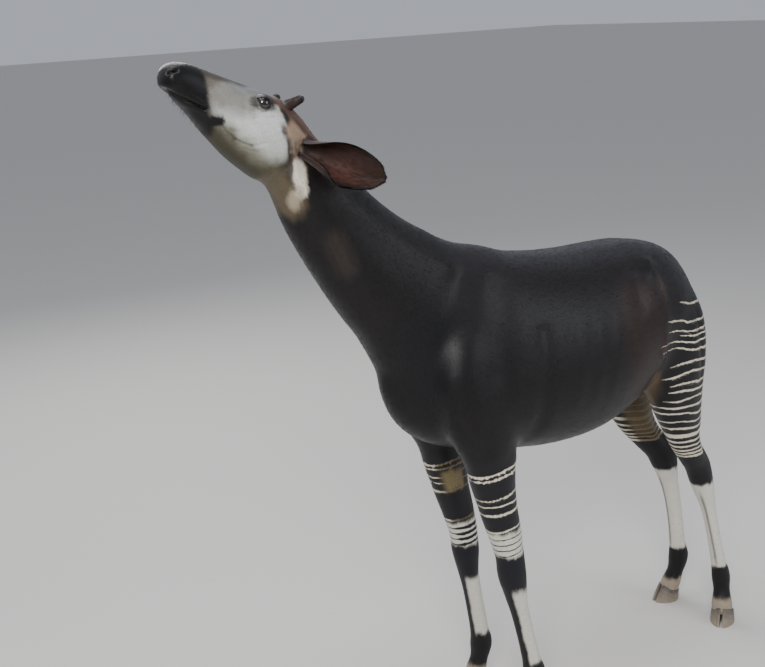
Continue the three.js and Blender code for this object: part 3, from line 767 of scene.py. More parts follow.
marks = {
    "body": light(19, 16, 17), "cream": light(214, 205, 184), "tan": light(96, 82, 58),
    "black": light(22, 20, 22), "white": light(206, 202, 190),
    # painted in turn, on both sides: from, to (mm), full within, fading over, colour,
    # strength
    "zones": [
        # lighter bluish strip along the back: painted sheen of the light on the back
        [(-400, 0, 1500), (350, 0, 1430), 60, 120, light(34, 32, 36), 0.8],
        # reddish-brown flank before the thigh: the coat's own brown, brightened by painted sunlight
        [(90, 235, 1250), (130, 225, 1020), 45, 110, light(42, 27, 22), 0.7],
        # darker, bluish breast and lower chest: painted shade under the body
        [(-480, 0, 900), (-640, 60, 1250), 90, 90, light(14, 14, 18), 0.85],
        # pale line down the ridge of the flank: painted highlight along the ridge
        [(212, 190, 1330), (205, 212, 1080), 5, 14, light(70, 52, 44), 0.45],
        [(196, 186, 1000), (240, 110, 902), 10, 34, light(88, 70, 48), 0.9],
        [(300, 0, 930), (420, 0, 960), 60, 60, light(96, 76, 62), 0.7],
        [(-905, 78, 1600), (-872, 76, 1525), 4, 44, light(62, 53, 48), 0.4],
        [(-930, 0, 1900), (-860, 0, 1815), 34, 110, light(66, 42, 34), 0.9],
        [(-1000, 0, 1962), (-925, 0, 1895), 62, 30, light(82, 60, 45), 0.95],
        # pale cheek, olive jaw
        [(-1168, 46, 1948), (-1092, 78, 1888), 58, 20, light(184, 186, 184), 1],
        [(-1110, 60, 1850), (-1070, 76, 1850), 30, 24, light(172, 174, 168), 0.9],
        [(-1196, 42, 1998), (-1124, 62, 1972), 18, 42, light(100, 95, 87), 0.85],
        [(-1130, 40, 2004), (-1098, 56, 1998), 16, 26, light(104, 104, 102), 0.8],
        [(-1225, 20, 1930), (-1060, 40, 1800), 24, 34, light(84, 80, 60), 0.85],
        [(-1225, 0, 1912), (-1040, 0, 1775), 34, 34, light(58, 54, 40), 0.9],
        [(-1040, 20, 1780), (-1000, 30, 1712), 30, 30, light(98, 88, 70), 0.8],
        # forehead with its painted grey sheen, bridge and brow
        [(-1120, 0, 2012), (-1050, 0, 1990), 40, 22, light(104, 106, 108), 0.95],
        [(-1215, 0, 2050), (-1118, 0, 2020), 27, 20, light(56, 51, 45), 0.9],
        [(-1048, 70, 1996), (-1042, 82, 1930), 5, 8, light(176, 168, 158), 0.8],
        # buff band behind the cheek, painted shade in the fold behind it, white patch of the throat
        [(-1012, 84, 1888), (-972, 80, 1846), 16, 18, light(138, 116, 98), 0.9],
        [(-1008, 82, 1850), (-996, 72, 1780), 16, 14, light(122, 108, 94), 0.85],
        [(-1002, 76, 1800), (-990, 68, 1738), 11, 14, light(216, 208, 194), 1],
        [(-1000, 62, 1738), (-996, 40, 1706), 10, 14, light(168, 156, 136), 0.8],
        # painted shade down the fold behind the cheek
        [(-1036, 84, 1905), (-1024, 84, 1844), 3, 8, light(52, 44, 40), 0.85],
        [(-1024, 84, 1844), (-1010, 60, 1743), 3, 8, light(48, 41, 36), 0.85],
        [(-950, 84, 1834), (-915, 106, 1808), 37, 9, light(34, 22, 20), 0.97],
        [(-1006, 46, 1943), (-986, 50, 1950), 17, 10, light(62, 42, 34), 0.9],
        [(-990, 136, 1844), (-925, 142, 1812), 49, 6, light(34, 22, 20), 0.97],
        # near black inside the nostril: painted shade in the hollow
        [(-1302, 25, 2046), (-1285, 33, 2051), 4, 5, light(6, 5, 6), 0.95],
        # dark round the eye, black muzzle and its patch, painted grey sheen of the nose
        [(-1100, 70, 1966), (-1066, 72, 1953), 12, 9, light(48, 44, 44), 0.8],
        [(-1222, 44, 1926), (-1191, 54, 1927), 8, 8, light(16, 15, 16), 1],
    ],
    "muzzle": (-1.2075, -1.2205, light(15, 14, 15)),
    # painted grey sheen on the nose: middle, full within, fading over, colour, strength
    "nose": [(-1306, 8, 2050), 10, 18, light(40, 38, 42), 0.6],
    # the ear: back, inside, painted sunlight shining through the middle of the inside, dark edge and
    # pale rim
    "ear": {"back": light(46, 30, 27), "inside": light(50, 34, 29), "lightThrough": light(80, 44, 36),
            "edge": light(16, 12, 12), "rim": light(120, 98, 90)},
    "innerStripe": light(104, 92, 72),
}

# the legs' marks: heights (m) between which they lie, and the colours only they have
legMarks = {
    "pastern": (0.085, 0.205), "coronet": (0.10, 0.075), "coronetColour": light(150, 138, 120),
    # thigh and thighFront: the heights below and the x beyond which the painted shade of the outer
    # thigh lies, then its colour
    "thigh": (1.26, 1.14), "thighFront": (0.215, 0.275), "thighShade": light(18, 16, 18),
    "innerThigh": (0.70, 0.98), "hock": (0.672, 0.655), "hindWhite": (0.205, 0.540),
    "shin": (0.22, 0.50), "shinColour": light(60, 56, 54),
    "patch": (0.742, 0.815), "patchColour": light(108, 96, 68),
    "forearm": (0.90, 0.94), "forearmColour": light(24, 23, 27),
    "kneeBand": (0.592, 0.674), "knee": (0.475, 0.590), "kneeColour": light(22, 22, 28),
    "cannon": (0.205, 0.470),
    "edge": 0.006,      # how far most of these edges fade
}

# stripes, from the top down: height on the leg's front quarter, side and rear quarter
# (mm), the angle from the front where it starts, half its width, 0 pale or 1 dark
stripes = {
    "hindleg": [
        [1252, 1229, 1208, 66, 2.5, 0], [1195, 1163, 1153, 48, 2.5, 0],
        [1157, 1131, 1122, 48, 2.4, 0], [1140, 1119, 1106, 62, 2.3, 0],
        [1120, 1093, 1087, 44, 2.7, 0], [1096, 1071, 1060, 36, 3.1, 0],
        [1026, 1037, 1019, 32, 3.1, 0], [990, 1006, 983, 32, 3.2, 0],
        [963, 957, 949, 26, 3.6, 0], [941, 931, 926, 24, 3.4, 0],
        [905, 907, 902, 16, 2.6, 0], [880, 868, 880, -20, 3.9, 0],
        [857, 833, 852, -20, 3.4, 0], [822, 806, 832, -20, 2.4, 0],
        [798, 784, 806, -20, 3.4, 0], [768, 760, 776, -20, 6.6, 0],
        [742, 736, 751, -20, 3.4, 0], [722, 713, 729, -20, 3.2, 0],
        [704, 697, 711, -20, 3.2, 0], [689, 682, 695, -20, 3.4, 0],
        [675, 669, 681, -20, 4.2, 0]],
    "foreleg": [
        [872, 882, 884, -10, 4.0, 0], [859, 870, 869, -10, 3.3, 0],
        [789, 802, 811, -14, 2.3, 0], [770, 779, 776, -14, 2.2, 0],
        [742, 750, 752, -18, 3.4, 0], [684, 690, 694, -20, 2.6, 0],
        [655, 660, 664, -20, 1.9, 1], [636, 641, 645, -20, 1.7, 1],
        [618, 622, 626, -20, 1.7, 1], [600, 604, 608, -20, 1.7, 1]],
    "columns": (52, 90, 148),
    # how much lower the right foreleg's uppermost lines, and its band and knee, are marked
    "rightUpper": 38, "rightLower": 50,
    # how far they waver, the clear space above and below them (mm), and the degrees over
    # which each starts, early or late by the stagger
    "waver": 3.6, "above": 40, "below": 30, "fadeFrom": 6, "fadeTo": 26, "stagger": 9,
    "darkInside": 1.9,  # how much wider the dark lines are on the inner side
}


def innerSide(turn):
    # 1 on the side of a leg that faces the other one
    return soft(190, 225, turn) * (1 - soft(315, 345, turn))


def stripeWarp(points):
    # the waver of the stripes, from about -1 to 1
    return ripple(points, 9, 5) * 0.8 + ripple(points, 40, 6) * 0.4


def stripeAt(points, warp):
    # phase: which stripe's middle line is nearest, running evenly between them;
    # half: half its width in the same steps, below 0 where there is none; and its tone
    n = len(points)
    phase, half, tone = np.full(n, -0.5), np.full(n, -0.2), np.zeros(n)
    inner = np.zeros(n)
    owner = legOf(points)
    for k, name in enumerate(legNames):
        mine = np.nonzero(owner == k)[0]
        if not len(mine):
            continue
        turn, _ = legLocal(points[mine], name)
        around = np.minimum(turn, 360 - turn)
        rows = np.array(stripes[name.split("_")[0]], float)
        if name == "foreleg_right":
            rows[:2, :3] -= stripes["rightUpper"]
            rows[5:, :3] -= stripes["rightLower"]
        z = points[mine, 2] * 1000 + warp[mine] * stripes["waver"]
        levels = np.stack([sum(np.interp(around + off, stripes["columns"], r[:3])
                               for off in (-24, -8, 8, 24)) / 4 for r in rows], 1)
        levels = np.hstack([levels[:, :1] + stripes["above"], levels,
                            levels[:, -1:] - stripes["below"]])
        above = np.clip((levels > z[:, None]).sum(1) - 1, 0, len(rows))
        pick = np.arange(len(mine))
        high, low = levels[pick, above], levels[pick, above + 1]
        gap = np.maximum(high - low, 4)
        place = above + np.clip((high - z) / gap, 0, 1)
        nearest = np.round(place).astype(int)
        wide = np.concatenate([[0], rows[:, 4], [0]])[nearest]
        start = np.concatenate([[0], rows[:, 3], [0]])[nearest]
        stagger = stripes["stagger"] * np.sin(nearest * 2.3 + k)
        fade = soft(start - stripes["fadeFrom"], start + stripes["fadeTo"],
                    around + 8 * warp[mine] + stagger)
        wide = wide * fade * (1 + 0.25 * warp[mine])
        phase[mine] = place
        half[mine] = np.where(wide > 0.3, wide / gap, -0.15)
        tone[mine] = np.concatenate([[0], rows[:, 5], [0]])[nearest]
        half[mine] *= 1 + stripes["darkInside"] * innerSide(turn) * (tone[mine] > 0.5)
        inner[mine] = soft(186, 216, turn) * (1 - soft(325, 350, turn))
    return phase, half, tone, inner


def paint(colours, chosen, colour, amount):
    amount = np.broadcast_to(np.asarray(amount, float), (len(chosen),))[:, None]
    colours[chosen] = colours[chosen] * (1 - amount) + colour * amount


def earLocal(points, side):
    # place in the ear's own arcs: along it, round it, and in front (-) or behind (+)
    base, axis, mouth, across = earFrame(side)
    off = points - base
    along = off @ axis
    t = (along * 1000 + earForm["root"]) / (earForm["length"] + earForm["root"])
    keys = through(earForm["keys"], np.clip(t, 0, 1) * (len(earForm["keys"]) - 1))
    radius = keys[:, 0] / 1000
    a, b = off @ across, radius - off @ mouth
    depth = np.hypot(a, b) - radius
    v = np.degrees(np.arctan2(a, b)) / np.maximum(keys[:, 1], 4)
    return t, v, depth


def onEar(points):
    # 1 where a point belongs to an ear's shell
    found = np.zeros(len(points))
    data = np.zeros((len(points), 3))
    for side, _ in bothSides:
        t, v, depth = earLocal(points, side)
        near = (t > 0.07) & (t < 1.06) & (np.abs(depth) < 0.0062) & (np.abs(v) < 1.5)
        near &= points[:, 1] * side > 0.03
        found[near] = 1
        # the second number is positive towards the lower rim
        v = -v * np.sign(earFrame(side)[3][2])
        data[near] = np.stack([t, v, depth], 1)[near]
    return found, data


def paintEars(colours, mine, data):
    # t runs up the ear, v across it to each rim, and depth is below 0 inside
    t, v, depth = data[mine].T
    inside = soft(0.0004, -0.0008, depth)
    # painted light of the sun shining through the lower middle of the shell
    lightThrough = inside * np.exp(-((t - 0.58) / 0.24) ** 2 - ((v - 0.35) / 0.5) ** 2)
    rim = inside * soft(0.50, 0.3, t) * soft(0.12, 0.2, t) * soft(0.5, 0.9, v)
    for part, amount in (("back", 1.0), ("inside", inside * 0.9), ("lightThrough", lightThrough * 0.8),
                         ("edge", soft(0.80, 0.97, np.abs(v)) * (t > 0.3) * 0.95),
                         ("edge", soft(0.93, 0.985, t) * 0.95), ("rim", rim * 0.6)):
        paint(colours, mine, marks["ear"][part], amount)


def paintLegs(colours, points, warp):
    # bands by height, their edges moved by the warp, and by the angle round each leg
    x, _, z = points.T
    owner = legOf(points)
    at, edge = legMarks, legMarks["edge"]
    for k, name in enumerate(legNames):
        mine = np.nonzero(owner == k)[0]
        turn, _ = legLocal(points[mine], name)
        around = np.minimum(turn, 360 - turn)
        level = z[mine] + warp[mine] * 1.2
        inner = innerSide(turn)
        if name.startswith("hind"):
            # painted shade on the outer thigh behind the flank, turned away from the light
            outer = (1 - soft(165, 200, turn)) * soft(*at["thighFront"], x[mine])
            paint(colours, mine, at["thighShade"], outer * soft(*at["thigh"], level) * 0.9)
            tan = inner * band(*at["innerThigh"], 0.03, level)
            paint(colours, mine, marks["tan"], tan * 0.75)
            paint(colours, mine, marks["black"], soft(*at["hock"], level))
            low, high = at["hindWhite"]
            rise = 0.02 * soft(120, 180, around)
            paint(colours, mine, marks["white"], band(low + rise, high, edge, level))
            front = (1 - soft(4, 13, around)) * band(*at["shin"], 0.03, level)
            paint(colours, mine, at["shinColour"], front * 0.7)
        else:
            patch = inner * band(*at["patch"], 0.009, level) * soft(234, 256, turn)
            paint(colours, mine, at["patchColour"], patch)
            dark = 1 - soft(*at["forearm"], level)
            paint(colours, mine, at["forearmColour"], dark * (1 - patch) * 0.9)
            drop = stripes["rightLower"] / 1000 if name == "foreleg_right" else 0
            lowered = level + drop - 0.008 * soft(90, 180, around)
            paint(colours, mine, marks["white"], band(*at["kneeBand"], edge, lowered))
            paint(colours, mine, at["kneeColour"], band(*at["knee"], edge, lowered))
            low, high = at["cannon"]
            side = soft(22, 42, around + warp[mine] * 900)
            cannon = band(low, high - drop, 0.012, level) * side
            paint(colours, mine, marks["white"], cannon * 0.95)
        paint(colours, mine, marks["black"], band(*at["pastern"], 0.007, level))
        paint(colours, mine, at["coronetColour"], soft(*at["coronet"], level))


def hideColour(points):
    # the coat's ground colour with some painted sheen, sunlight and shade: zones painted in turn,
    # then the ears and the legs
    n = len(points)
    warp = ripple(points, 26, 3) * 0.0045 + ripple(points, 90, 4) * 0.0016
    x, _, z = points.T
    away = mirrored(points) * 1000
    colours = np.tile(marks["body"], (n, 1))
    everywhere = np.arange(n)
    for a, b, reach, fade, colour, strength in marks["zones"]:
        d, _ = toSegment(away, a, b)
        d = d + warp * 1000
        near = np.nonzero(d < reach + fade)[0]
        paint(colours, near, colour, strength * (1 - soft(reach, reach + fade, d[near])))
    mottle = ripple(points, 34, 12) * 0.6 + ripple(points, 130, 13) * 0.4
    colours *= (1 + 0.10 * mottle)[:, None]
    start, end, black = marks["muzzle"]
    lower = 0.010 * soft(1.96, 1.90, z)
    paint(colours, everywhere, black, soft(start, end, x - lower + warp * 0.6))
    # the painted sheen on the nose
    a, reach, fade, colour, strength = marks["nose"]
    d, _ = toSegment(away, a, a)
    paint(colours, everywhere, colour, strength * (1 - soft(reach, reach + fade, d)))

    found, data = onEar(points)
    paintEars(colours, np.nonzero(found)[0], data)
    paintLegs(colours, points, warp)
    return colours


def markColour(tone, inner):
    return blend(blend(marks["cream"], marks["innerStripe"], inner), marks["black"], tone)


def coatAt(points):
    # the coat's colour at any point, stripes and all
    phase, half, tone, inner = stripeAt(points, stripeWarp(points))
    off = np.abs((phase + 0.5) % 1 - 0.5)
    return blend(hideColour(points), markColour(tone, inner), soft(-0.04, 0.04, half - off))


def neckMask(points):
    # 1 on the neck, fading into the trunk across a slanting line
    return soft(-0.50, -0.66, points[:, 0] + 0.3 * (points[:, 2] - 1.3))


def headMask(points):
    return soft(-0.98, -1.06, points[:, 0])


def legMask(p):
    # 1 down the legs, fading in below the trunk
    x, _, z = p.T
    fore, hind = soft(1.0, 0.86, z), soft(1.06, 0.90, z)
    return np.where(x < legZone["split"], fore, hind) * (legOf(p) >= 0)


def lieOf(points):
    # the way the hair lies: back along the trunk, down the neck and legs, from the
    # muzzle up the face, and along the ears
    x, y, z = points.T
    lie = blend(np.array([0.88, 0, -0.42]), np.array([0.48, 0, -0.88]), neckMask(points))
    lie = blend(lie, np.array([0.86, 0, -0.50]), headMask(points))
    lie = blend(lie, np.array([0.10, 0, -1.0]), legMask(points))
    found, _ = onEar(points)
    for side, _ in bothSides:
        mine = (found > 0) & (y * side > 0)
        lie[mine] = earFrame(side)[1]
    dock = (x > 0.505) & (z > 0.9) & (np.abs(y) < 0.04)
    lie[dock] = (0.1, 0, -1)
    return unit(lie)


# Looks
coatLook = {
    "roughness": (0.28, 0.62), "bump": 0.55, "bumpHeight": 0.0007, "gloss": 0.25,
    "sheen": 0.02, "sheenTint": (0.75, 0.85, 1.0, 1),
    # 0 glossy to 1 dull: the body's, and what face, muzzle and legs add to it
    "dull": {"body": 0.35, "face": 0.4, "muzzle": -0.75, "legs": 0.4},
    "shades": (0.66, 1.30),     # darkest and lightest hairs against the coat's colour
    "fray": 0.06, "stripeEdge": 0.035,
    # how the hair lies, in degrees about Y, and the size of its streaks
    "bodyLie": (25, (0.012, 0.0011, 0.0011)),
    "partLies": {"neckPart": (61, (0.012, 0.0011, 0.0011)),
                 "headPart": (30, (0.007, 0.0008, 0.0008)),
                 "legPart": (90, (0.008, 0.0009, 0.0009))},
}


def node(tree, kind, **values):
    # a new node, set down in rows of six from the left
    row, column = divmod(len(tree.nodes) - 2, 6)
    made = tree.nodes.new(kind)
    made.location = (column * 200 - 1400, 600 - row * 300)
    for key, value in values.items():
        setattr(made, key, value)
    return made


def streaks(tree, turn, scale, detail=2.5):
    # noise drawn out along the hair's lie, which is turned about Y from the X axis
    source = node(tree, "ShaderNodeTexCoord")
    mapping = node(tree, "ShaderNodeMapping", vector_type="TEXTURE")
    mapping.inputs["Rotation"].default_value = (0, math.radians(turn), 0)
    mapping.inputs["Scale"].default_value = scale
    noise = node(tree, "ShaderNodeTexNoise")
    noise.inputs["Scale"].default_value = 1.0
    noise.inputs["Detail"].default_value = detail
    tree.links.new(source.outputs["Object"], mapping.inputs["Vector"])
    tree.links.new(mapping.outputs["Vector"], noise.inputs["Vector"])
    return noise.outputs["Fac"]


def addBump(tree, height, strength, distance):
    bump = node(tree, "ShaderNodeBump")
    bump.inputs["Strength"].default_value = strength
    bump.inputs["Distance"].default_value = distance
    tree.links.new(height, bump.inputs["Height"])
    tree.links.new(bump.outputs[0], tree.nodes["Principled BSDF"].inputs["Normal"])


def ranged(tree, value, given, wanted):
    # the value taken from the given range to the wanted one
    made = node(tree, "ShaderNodeMapRange")
    for socket, number in zip(("From Min", "From Max", "To Min", "To Max"), given + wanted):
        made.inputs[socket].default_value = number
    tree.links.new(value, made.inputs["Value"])
    return made.outputs[0]


def mixed(tree, kind, amount, a, b):
    # a where the amount is 0 and b where it is 1, as numbers or as colours
    first, result = {"FLOAT": (2, 0), "RGBA": (6, 2)}[kind]
    mixer = node(tree, "ShaderNodeMix", data_type=kind)
    tree.links.new(amount, mixer.inputs[0])
    tree.links.new(a, mixer.inputs[first])
    tree.links.new(b, mixer.inputs[first + 1])
    return mixer.outputs[result]


def attribute(tree, name, output="Fac"):
    made = node(tree, "ShaderNodeAttribute")
    made.attribute_name = name
    return made.outputs[output]


def sums(tree, operation, *values):
    # a sum of sockets and plain numbers
    made = node(tree, "ShaderNodeMath", operation=operation)
    for socket, value in zip(made.inputs, values):
        if isinstance(value, (int, float)):
            socket.default_value = value
        else:
            tree.links.new(value, socket)
    return made.outputs[0]


def stripeAmount(tree, hair):
    # 1 where the phase is nearer to a whole number than half the stripe's width, the edge
    # frayed by the hair's streaks
    fray = coatLook["fray"]
    edge = coatLook["stripeEdge"]
    part = sums(tree, "FRACT", sums(tree, "ADD", attribute(tree, "stripPhase"), 0.5))
    near = sums(tree, "ABSOLUTE", sums(tree, "SUBTRACT", part, 0.5))
    frayed = sums(tree, "MULTIPLY_ADD", hair, fray, -fray / 2)
    wide = sums(tree, "ADD", attribute(tree, "stripHalf"), frayed)
    return ranged(tree, sums(tree, "SUBTRACT", wide, near), (-edge, edge), (0, 1))


def skinMaterial():
    look, tree, shader = newLook("okapiSkin")
    # the hair's streaks, each part's own lie laid over the body's
    hair = streaks(tree, *coatLook["bodyLie"])
    for part, lie in coatLook["partLies"].items():
        hair = mixed(tree, "FLOAT", attribute(tree, part), hair, streaks(tree, *lie))
    hide, mark = (attribute(tree, name, "Color") for name in ("hide", "mark"))
    colour = mixed(tree, "RGBA", stripeAmount(tree, hair), hide, mark)
    # lighter and darker hairs
    shade = ranged(tree, hair, (0.25, 0.75), coatLook["shades"])
    times = node(tree, "ShaderNodeVectorMath", operation="SCALE")
    tree.links.new(colour, times.inputs[0])
    tree.links.new(shade, times.inputs[3])
    tree.links.new(times.outputs[0], shader.inputs["Base Color"])
    rough = ranged(tree, attribute(tree, "dull"), (0, 1), coatLook["roughness"])
    tree.links.new(rough, shader.inputs["Roughness"])
    shader.inputs["Sheen Weight"].default_value = coatLook["sheen"]
    shader.inputs["Specular IOR Level"].default_value = coatLook["gloss"]
    shader.inputs["Sheen Tint"].default_value = coatLook["sheenTint"]
    addBump(tree, hair, coatLook["bump"], coatLook["bumpHeight"])
    return look


def tintedMaterial(name, layer, roughness, sheen=0.0, gloss=0.5):
    # a plain shader that takes its colour from a colour attribute
    look, tree, shader = newLook(name)
    tree.links.new(attribute(tree, layer, "Color"), shader.inputs["Base Color"])
    shader.inputs["Roughness"].default_value = roughness
    shader.inputs["Sheen Weight"].default_value = sheen
    shader.inputs["Specular IOR Level"].default_value = gloss
    return look


def dressSkin(skin):
    points = pointsOf(skin)
    x, _, z = points.T
    phase, half, tone, inner = stripeAt(points, stripeWarp(points))
    setColour(skin, "hide", hideColour(points))
    setColour(skin, "mark", markColour(tone, inner))
    setNumber(skin, "stripPhase", phase)
    setNumber(skin, "stripHalf", half)
    setNumber(skin, "neckPart", neckMask(points))
    setNumber(skin, "headPart", headMask(points))
    setNumber(skin, "legPart", legMask(points))
    part = coatLook["dull"]
    dull = (part["body"] + part["face"] * soft(-0.98, -1.05, x)
            + part["muzzle"] * soft(-1.205, -1.225, x) + part["legs"] * soft(0.9, 0.6, z))
    setNumber(skin, "dull", np.clip(dull, 0, 1))
    skin.data.materials.clear()
    skin.data.materials.append(skinMaterial())
    print("skin painted")


# Tufts of hair. For trunk, neck and head the flat layout has a point of the axis (x, z),
# how much x and z count as up, the coordinate along the part, its start and its length
layout = [(0, 1.17, 0, 1, 0, -0.75, 1.35), (-0.72, 1.50, 0.6, 0.48, 2, 1.0, 0.9),
          (-1.12, 1.93, 0.457, 0.89, 0, -1.33, 0.5)]


def unwrap(points):
    # a place for each point on the skin laid out flat: each part round its own axis,
    # in a tile of its own
    x, y, z = points.T
    owner = legOf(points)
    found, data = onEar(points)
    part = np.where(x < -0.95, 2, np.where(x < -0.55, 1, 0))
    part = np.where(owner >= 0, 3 + owner, part)
    part = np.where(found > 0, 7, part)
    turn, along = np.zeros(len(points)), np.zeros(len(points))
    for n, (axisX, axisZ, upX, upZ, coordinate, start, length) in enumerate(layout):
        mine = part == n
        turn[mine] = np.arctan2(y, (x - axisX) * upX + (z - axisZ) * upZ)[mine]
        along[mine] = (points[mine, coordinate] - start) / length
    for k, name in enumerate(legNames):
        mine = owner == k
        if mine.any():
            degrees, _ = legLocal(points[mine], name)
            turn[mine] = np.radians(degrees - 180)
            along[mine] = z[mine] / 1.3
    ear = part == 7
    turn[ear] = data[ear, 1] * np.sign(data[ear, 2] + 1e-9) * 2.0
    along[ear] = (data[ear, 0] + (y[ear] > 0)) / 2.2
    u = np.clip(turn / (2 * np.pi) + 0.5, 0.01, 0.985)
    v = np.clip(along, 0.01, 0.985)
    return np.stack([(part % 3 + u) / 3, (part // 3 + v) / 3], 1)


def tufts(name, roots, normals, lies, size, colours, look, rings=1):
    # size: length, width, lift in degrees and curl towards the skin, per tuft. Each tuft
    # is three-sided, its rings shrinking to a tip; the line from root to tip rises by
    # the sine of the lift and is drawn back by the curl times the square of the way
    count = len(roots)
    length, width, lift, curl = (np.broadcast_to(np.asarray(s, float), (count,))
                                 for s in size)
    lies = unit(lies - normals * (lies * normals).sum(1, keepdims=True))
    across = np.cross(normals, lies)
    rise = np.radians(lift)
    steps = np.linspace(0, 1, rings + 1)
    layers, local = [], []
    for s in steps:
        out = np.sin(rise) * s * length - curl * s * s * length
        middle = (roots + lies * (np.cos(rise) * s * length)[:, None] + normals * out[:, None])
        if s == 0:
            middle = middle - normals * (0.5 * width)[:, None]
        if s == 1:
            layers.append(middle[:, None])
            local.append([(0.5, 1.0)])
            continue
        half = width * 0.5 * (1 - s) ** 0.7 * (1 if s else 0.8)
        layers.append(np.stack([middle + across * half[:, None],
                                middle + normals * (half * 0.8)[:, None],
                                middle - across * half[:, None]], 1))
        local.append([(0.1, s * 0.9), (0.5, s * 0.9), (0.9, s * 0.9)])
    points = np.concatenate(layers, 1)
    each = points.shape[1]
    tris = [[0, 2, 1]]
    for r in range(rings):
        a = 3 * r
        for k in range(3):
            n = (k + 1) % 3
            if r < rings - 1:
                tris += [[a + k, a + 3 + n, a + 3 + k], [a + k, a + n, a + 3 + n]]
            else:
                tris.append([a + k, a + n, each - 1])
    tris = np.array(tris)
    faces = (tris[None] + (np.arange(count) * each)[:, None, None]).reshape(-1, 3)
    mesh = bpy.data.meshes.new(name)
    flat = (points.reshape(-1, 3) + shift).astype(np.float32)
    mesh.vertices.add(len(flat))
    mesh.vertices.foreach_set("co", flat.ravel())
    mesh.loops.add(faces.size)
    mesh.loops.foreach_set("vertex_index", faces.astype(np.int32).ravel())
    mesh.polygons.add(len(faces))
    mesh.polygons.foreach_set("loop_start", np.arange(0, faces.size, 3, dtype=np.int32))
    mesh.update(calc_edges=True)
    mesh.polygons.foreach_set("use_smooth", np.ones(len(faces), bool))
    # each tuft is lit like the skin it lies on
    facing = np.repeat(normals, each, axis=0) + np.repeat(lies, each, axis=0) * 0.15
    mesh.normals_split_custom_set_from_vertices(unit(facing).tolist())
    uv = mesh.uv_layers.new(name="OFBake")
    patch = unwrap(roots)[:, None] + np.concatenate(local)[None] * 0.003
    uv.data.foreach_set("uv", patch.reshape(-1, 2)[faces.ravel()].astype(np.float32).ravel())
    obj = added(name, mesh)
    setColour(obj, "hairColour", np.repeat(colours, each, axis=0))
    mesh.materials.append(look)
    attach(obj, "root")
    return obj


def scatter(skin, count, density, seed):
    # random places on the skin, as many per area as density (a function of the faces'
    # middles) asks
    mesh = skin.data
    mesh.calc_loop_triangles()
    tris = readRows(mesh.loop_triangles, "vertices", 3, np.int32)
    points, normals = pointsOf(skin), normalsOf(skin)
    a, b, c = (points[tris[:, k]] for k in range(3))
    area = np.linalg.norm(np.cross(b - a, c - a), axis=1) / 2
    weight = area * density((a + b + c) / 3)
    lot = np.random.default_rng(seed)
    pick = lot.choice(len(tris), count, p=weight / weight.sum())
    r, s = np.sqrt(lot.random(count)), lot.random(count)
    share = np.stack([1 - r, r * (1 - s), r * s], 1)
    where = (points[tris[pick]] * share[..., None]).sum(1)
    facing = unit((normals[tris[pick]] * share[..., None]).sum(1))
    return where, facing


coatHair = {
    # tufts in each piece, and their length, width (mm) and lift on body, head and legs
    "pieces": 4, "each": 46000,
    "body": (13, 1.4, 6), "head": (5.0, 0.8, 5), "leg": (5.5, 0.9, 6),
    # how much denser on head and legs, and how lie, lengths, shades and lifts vary
    "headDenser": 2.2, "legDenser": 0.9, "stray": 0.16,
    "lengths": (0.7, 1.25), "shades": (0.8, 1.25), "lifts": (0.5, 1.6), "curl": 0.06,
}


def bare(points):
    # 0 where no hair grows: nostrils, lips, round the eyes and at the hooves
    half = mirrored(points)
    eye, _ = toSegment(half * 1000, face["eyeCentre"], face["eyeCentre"])
    nose, _ = toSegment(half * 1000, (-1308, 0, 2046), (-1296, 30, 2046))
    grown = soft(24, 30, eye) * soft(12, 26, nose)
    grown *= soft(0.048, 0.06, points[:, 2])
    grown *= soft(4, 9, lipDistance(half))
    grown *= 1 - 0.6 * soft(-1.22, -1.26, points[:, 0])
    return grown


def coatDensity(points):
    # 1 on the body, more on the small-haired head and legs, 0 where it is bare
    denser = (1 + coatHair["headDenser"] * soft(-0.96, -1.03, points[:, 0])
              + coatHair["legDenser"] * legMask(points))
    return denser * bare(points)


def makeCoat(skin, look):
    count = coatHair["each"]
    body, onHead, onLeg = (coatHair[k] for k in ("body", "head", "leg"))
    for n in range(coatHair["pieces"]):
        roots, normals = scatter(skin, count, coatDensity, 40 + n)
        lot = np.random.default_rng(80 + n)
        head = soft(-0.96, -1.05, roots[:, 0])
        leg = legMask(roots) * (1 - head)
        small = np.maximum(head, onEar(roots)[0])
        long, wide, lift = (body[k] * (1 - small) * (1 - leg) + onHead[k] * small
                            + onLeg[k] * leg * (1 - small) for k in range(3))
        lies = unit(lieOf(roots) + lot.normal(0, coatHair["stray"], (count, 3)))
        length = long / 1000 * lot.uniform(*coatHair["lengths"], count)
        colours = coatAt(roots) * lot.uniform(*coatHair["shades"], (count, 1))
        lift = lift * lot.uniform(*coatHair["lifts"], count)
        tufts(f"coat{n}", roots, normals, lies, (length, wide / 1000, lift, coatHair["curl"]),
              colours, look)
    print("coat grown")


# Eyes and lids
lids = {
    "long": 64, "upper": 32, "lower": 25,
    # way out from the rim, distance from the eye's middle (mm)
    "profile": [(0, 20.7), (0.05, 21.9), (0.14, 22.8), (0.34, 22.9), (0.46, 22.2),
                (0.6, 22.6), (0.8, 21.6), (1, 18.5)],
    # the inner wall's distance from the middle and the creases' depth (m), how far round
    # the ball the lids reach (degrees)
    "inside": 0.0185, "crease": 0.0005, "outTo": 97, "rimColour": light(14, 12, 12),
}

eyeColours = {"ball": light(22, 17, 15), "iris": light(34, 21, 14), "edge": light(10, 8, 8),
              "pupil": light(6, 6, 9)}


def eyeFrame(side):
    # the eye's middle, the way it looks, and forward and up square to that
    look = unit(np.array(face["eyeLook"]) * [1, side, 1])
    ahead = np.array(face["eyeForward"], float)
    ahead = unit(ahead - look * (ahead @ look))
    up = np.cross(ahead, look)
    up *= np.sign(up[2])
    return placed(face["eyeCentre"], side), look, ahead, up


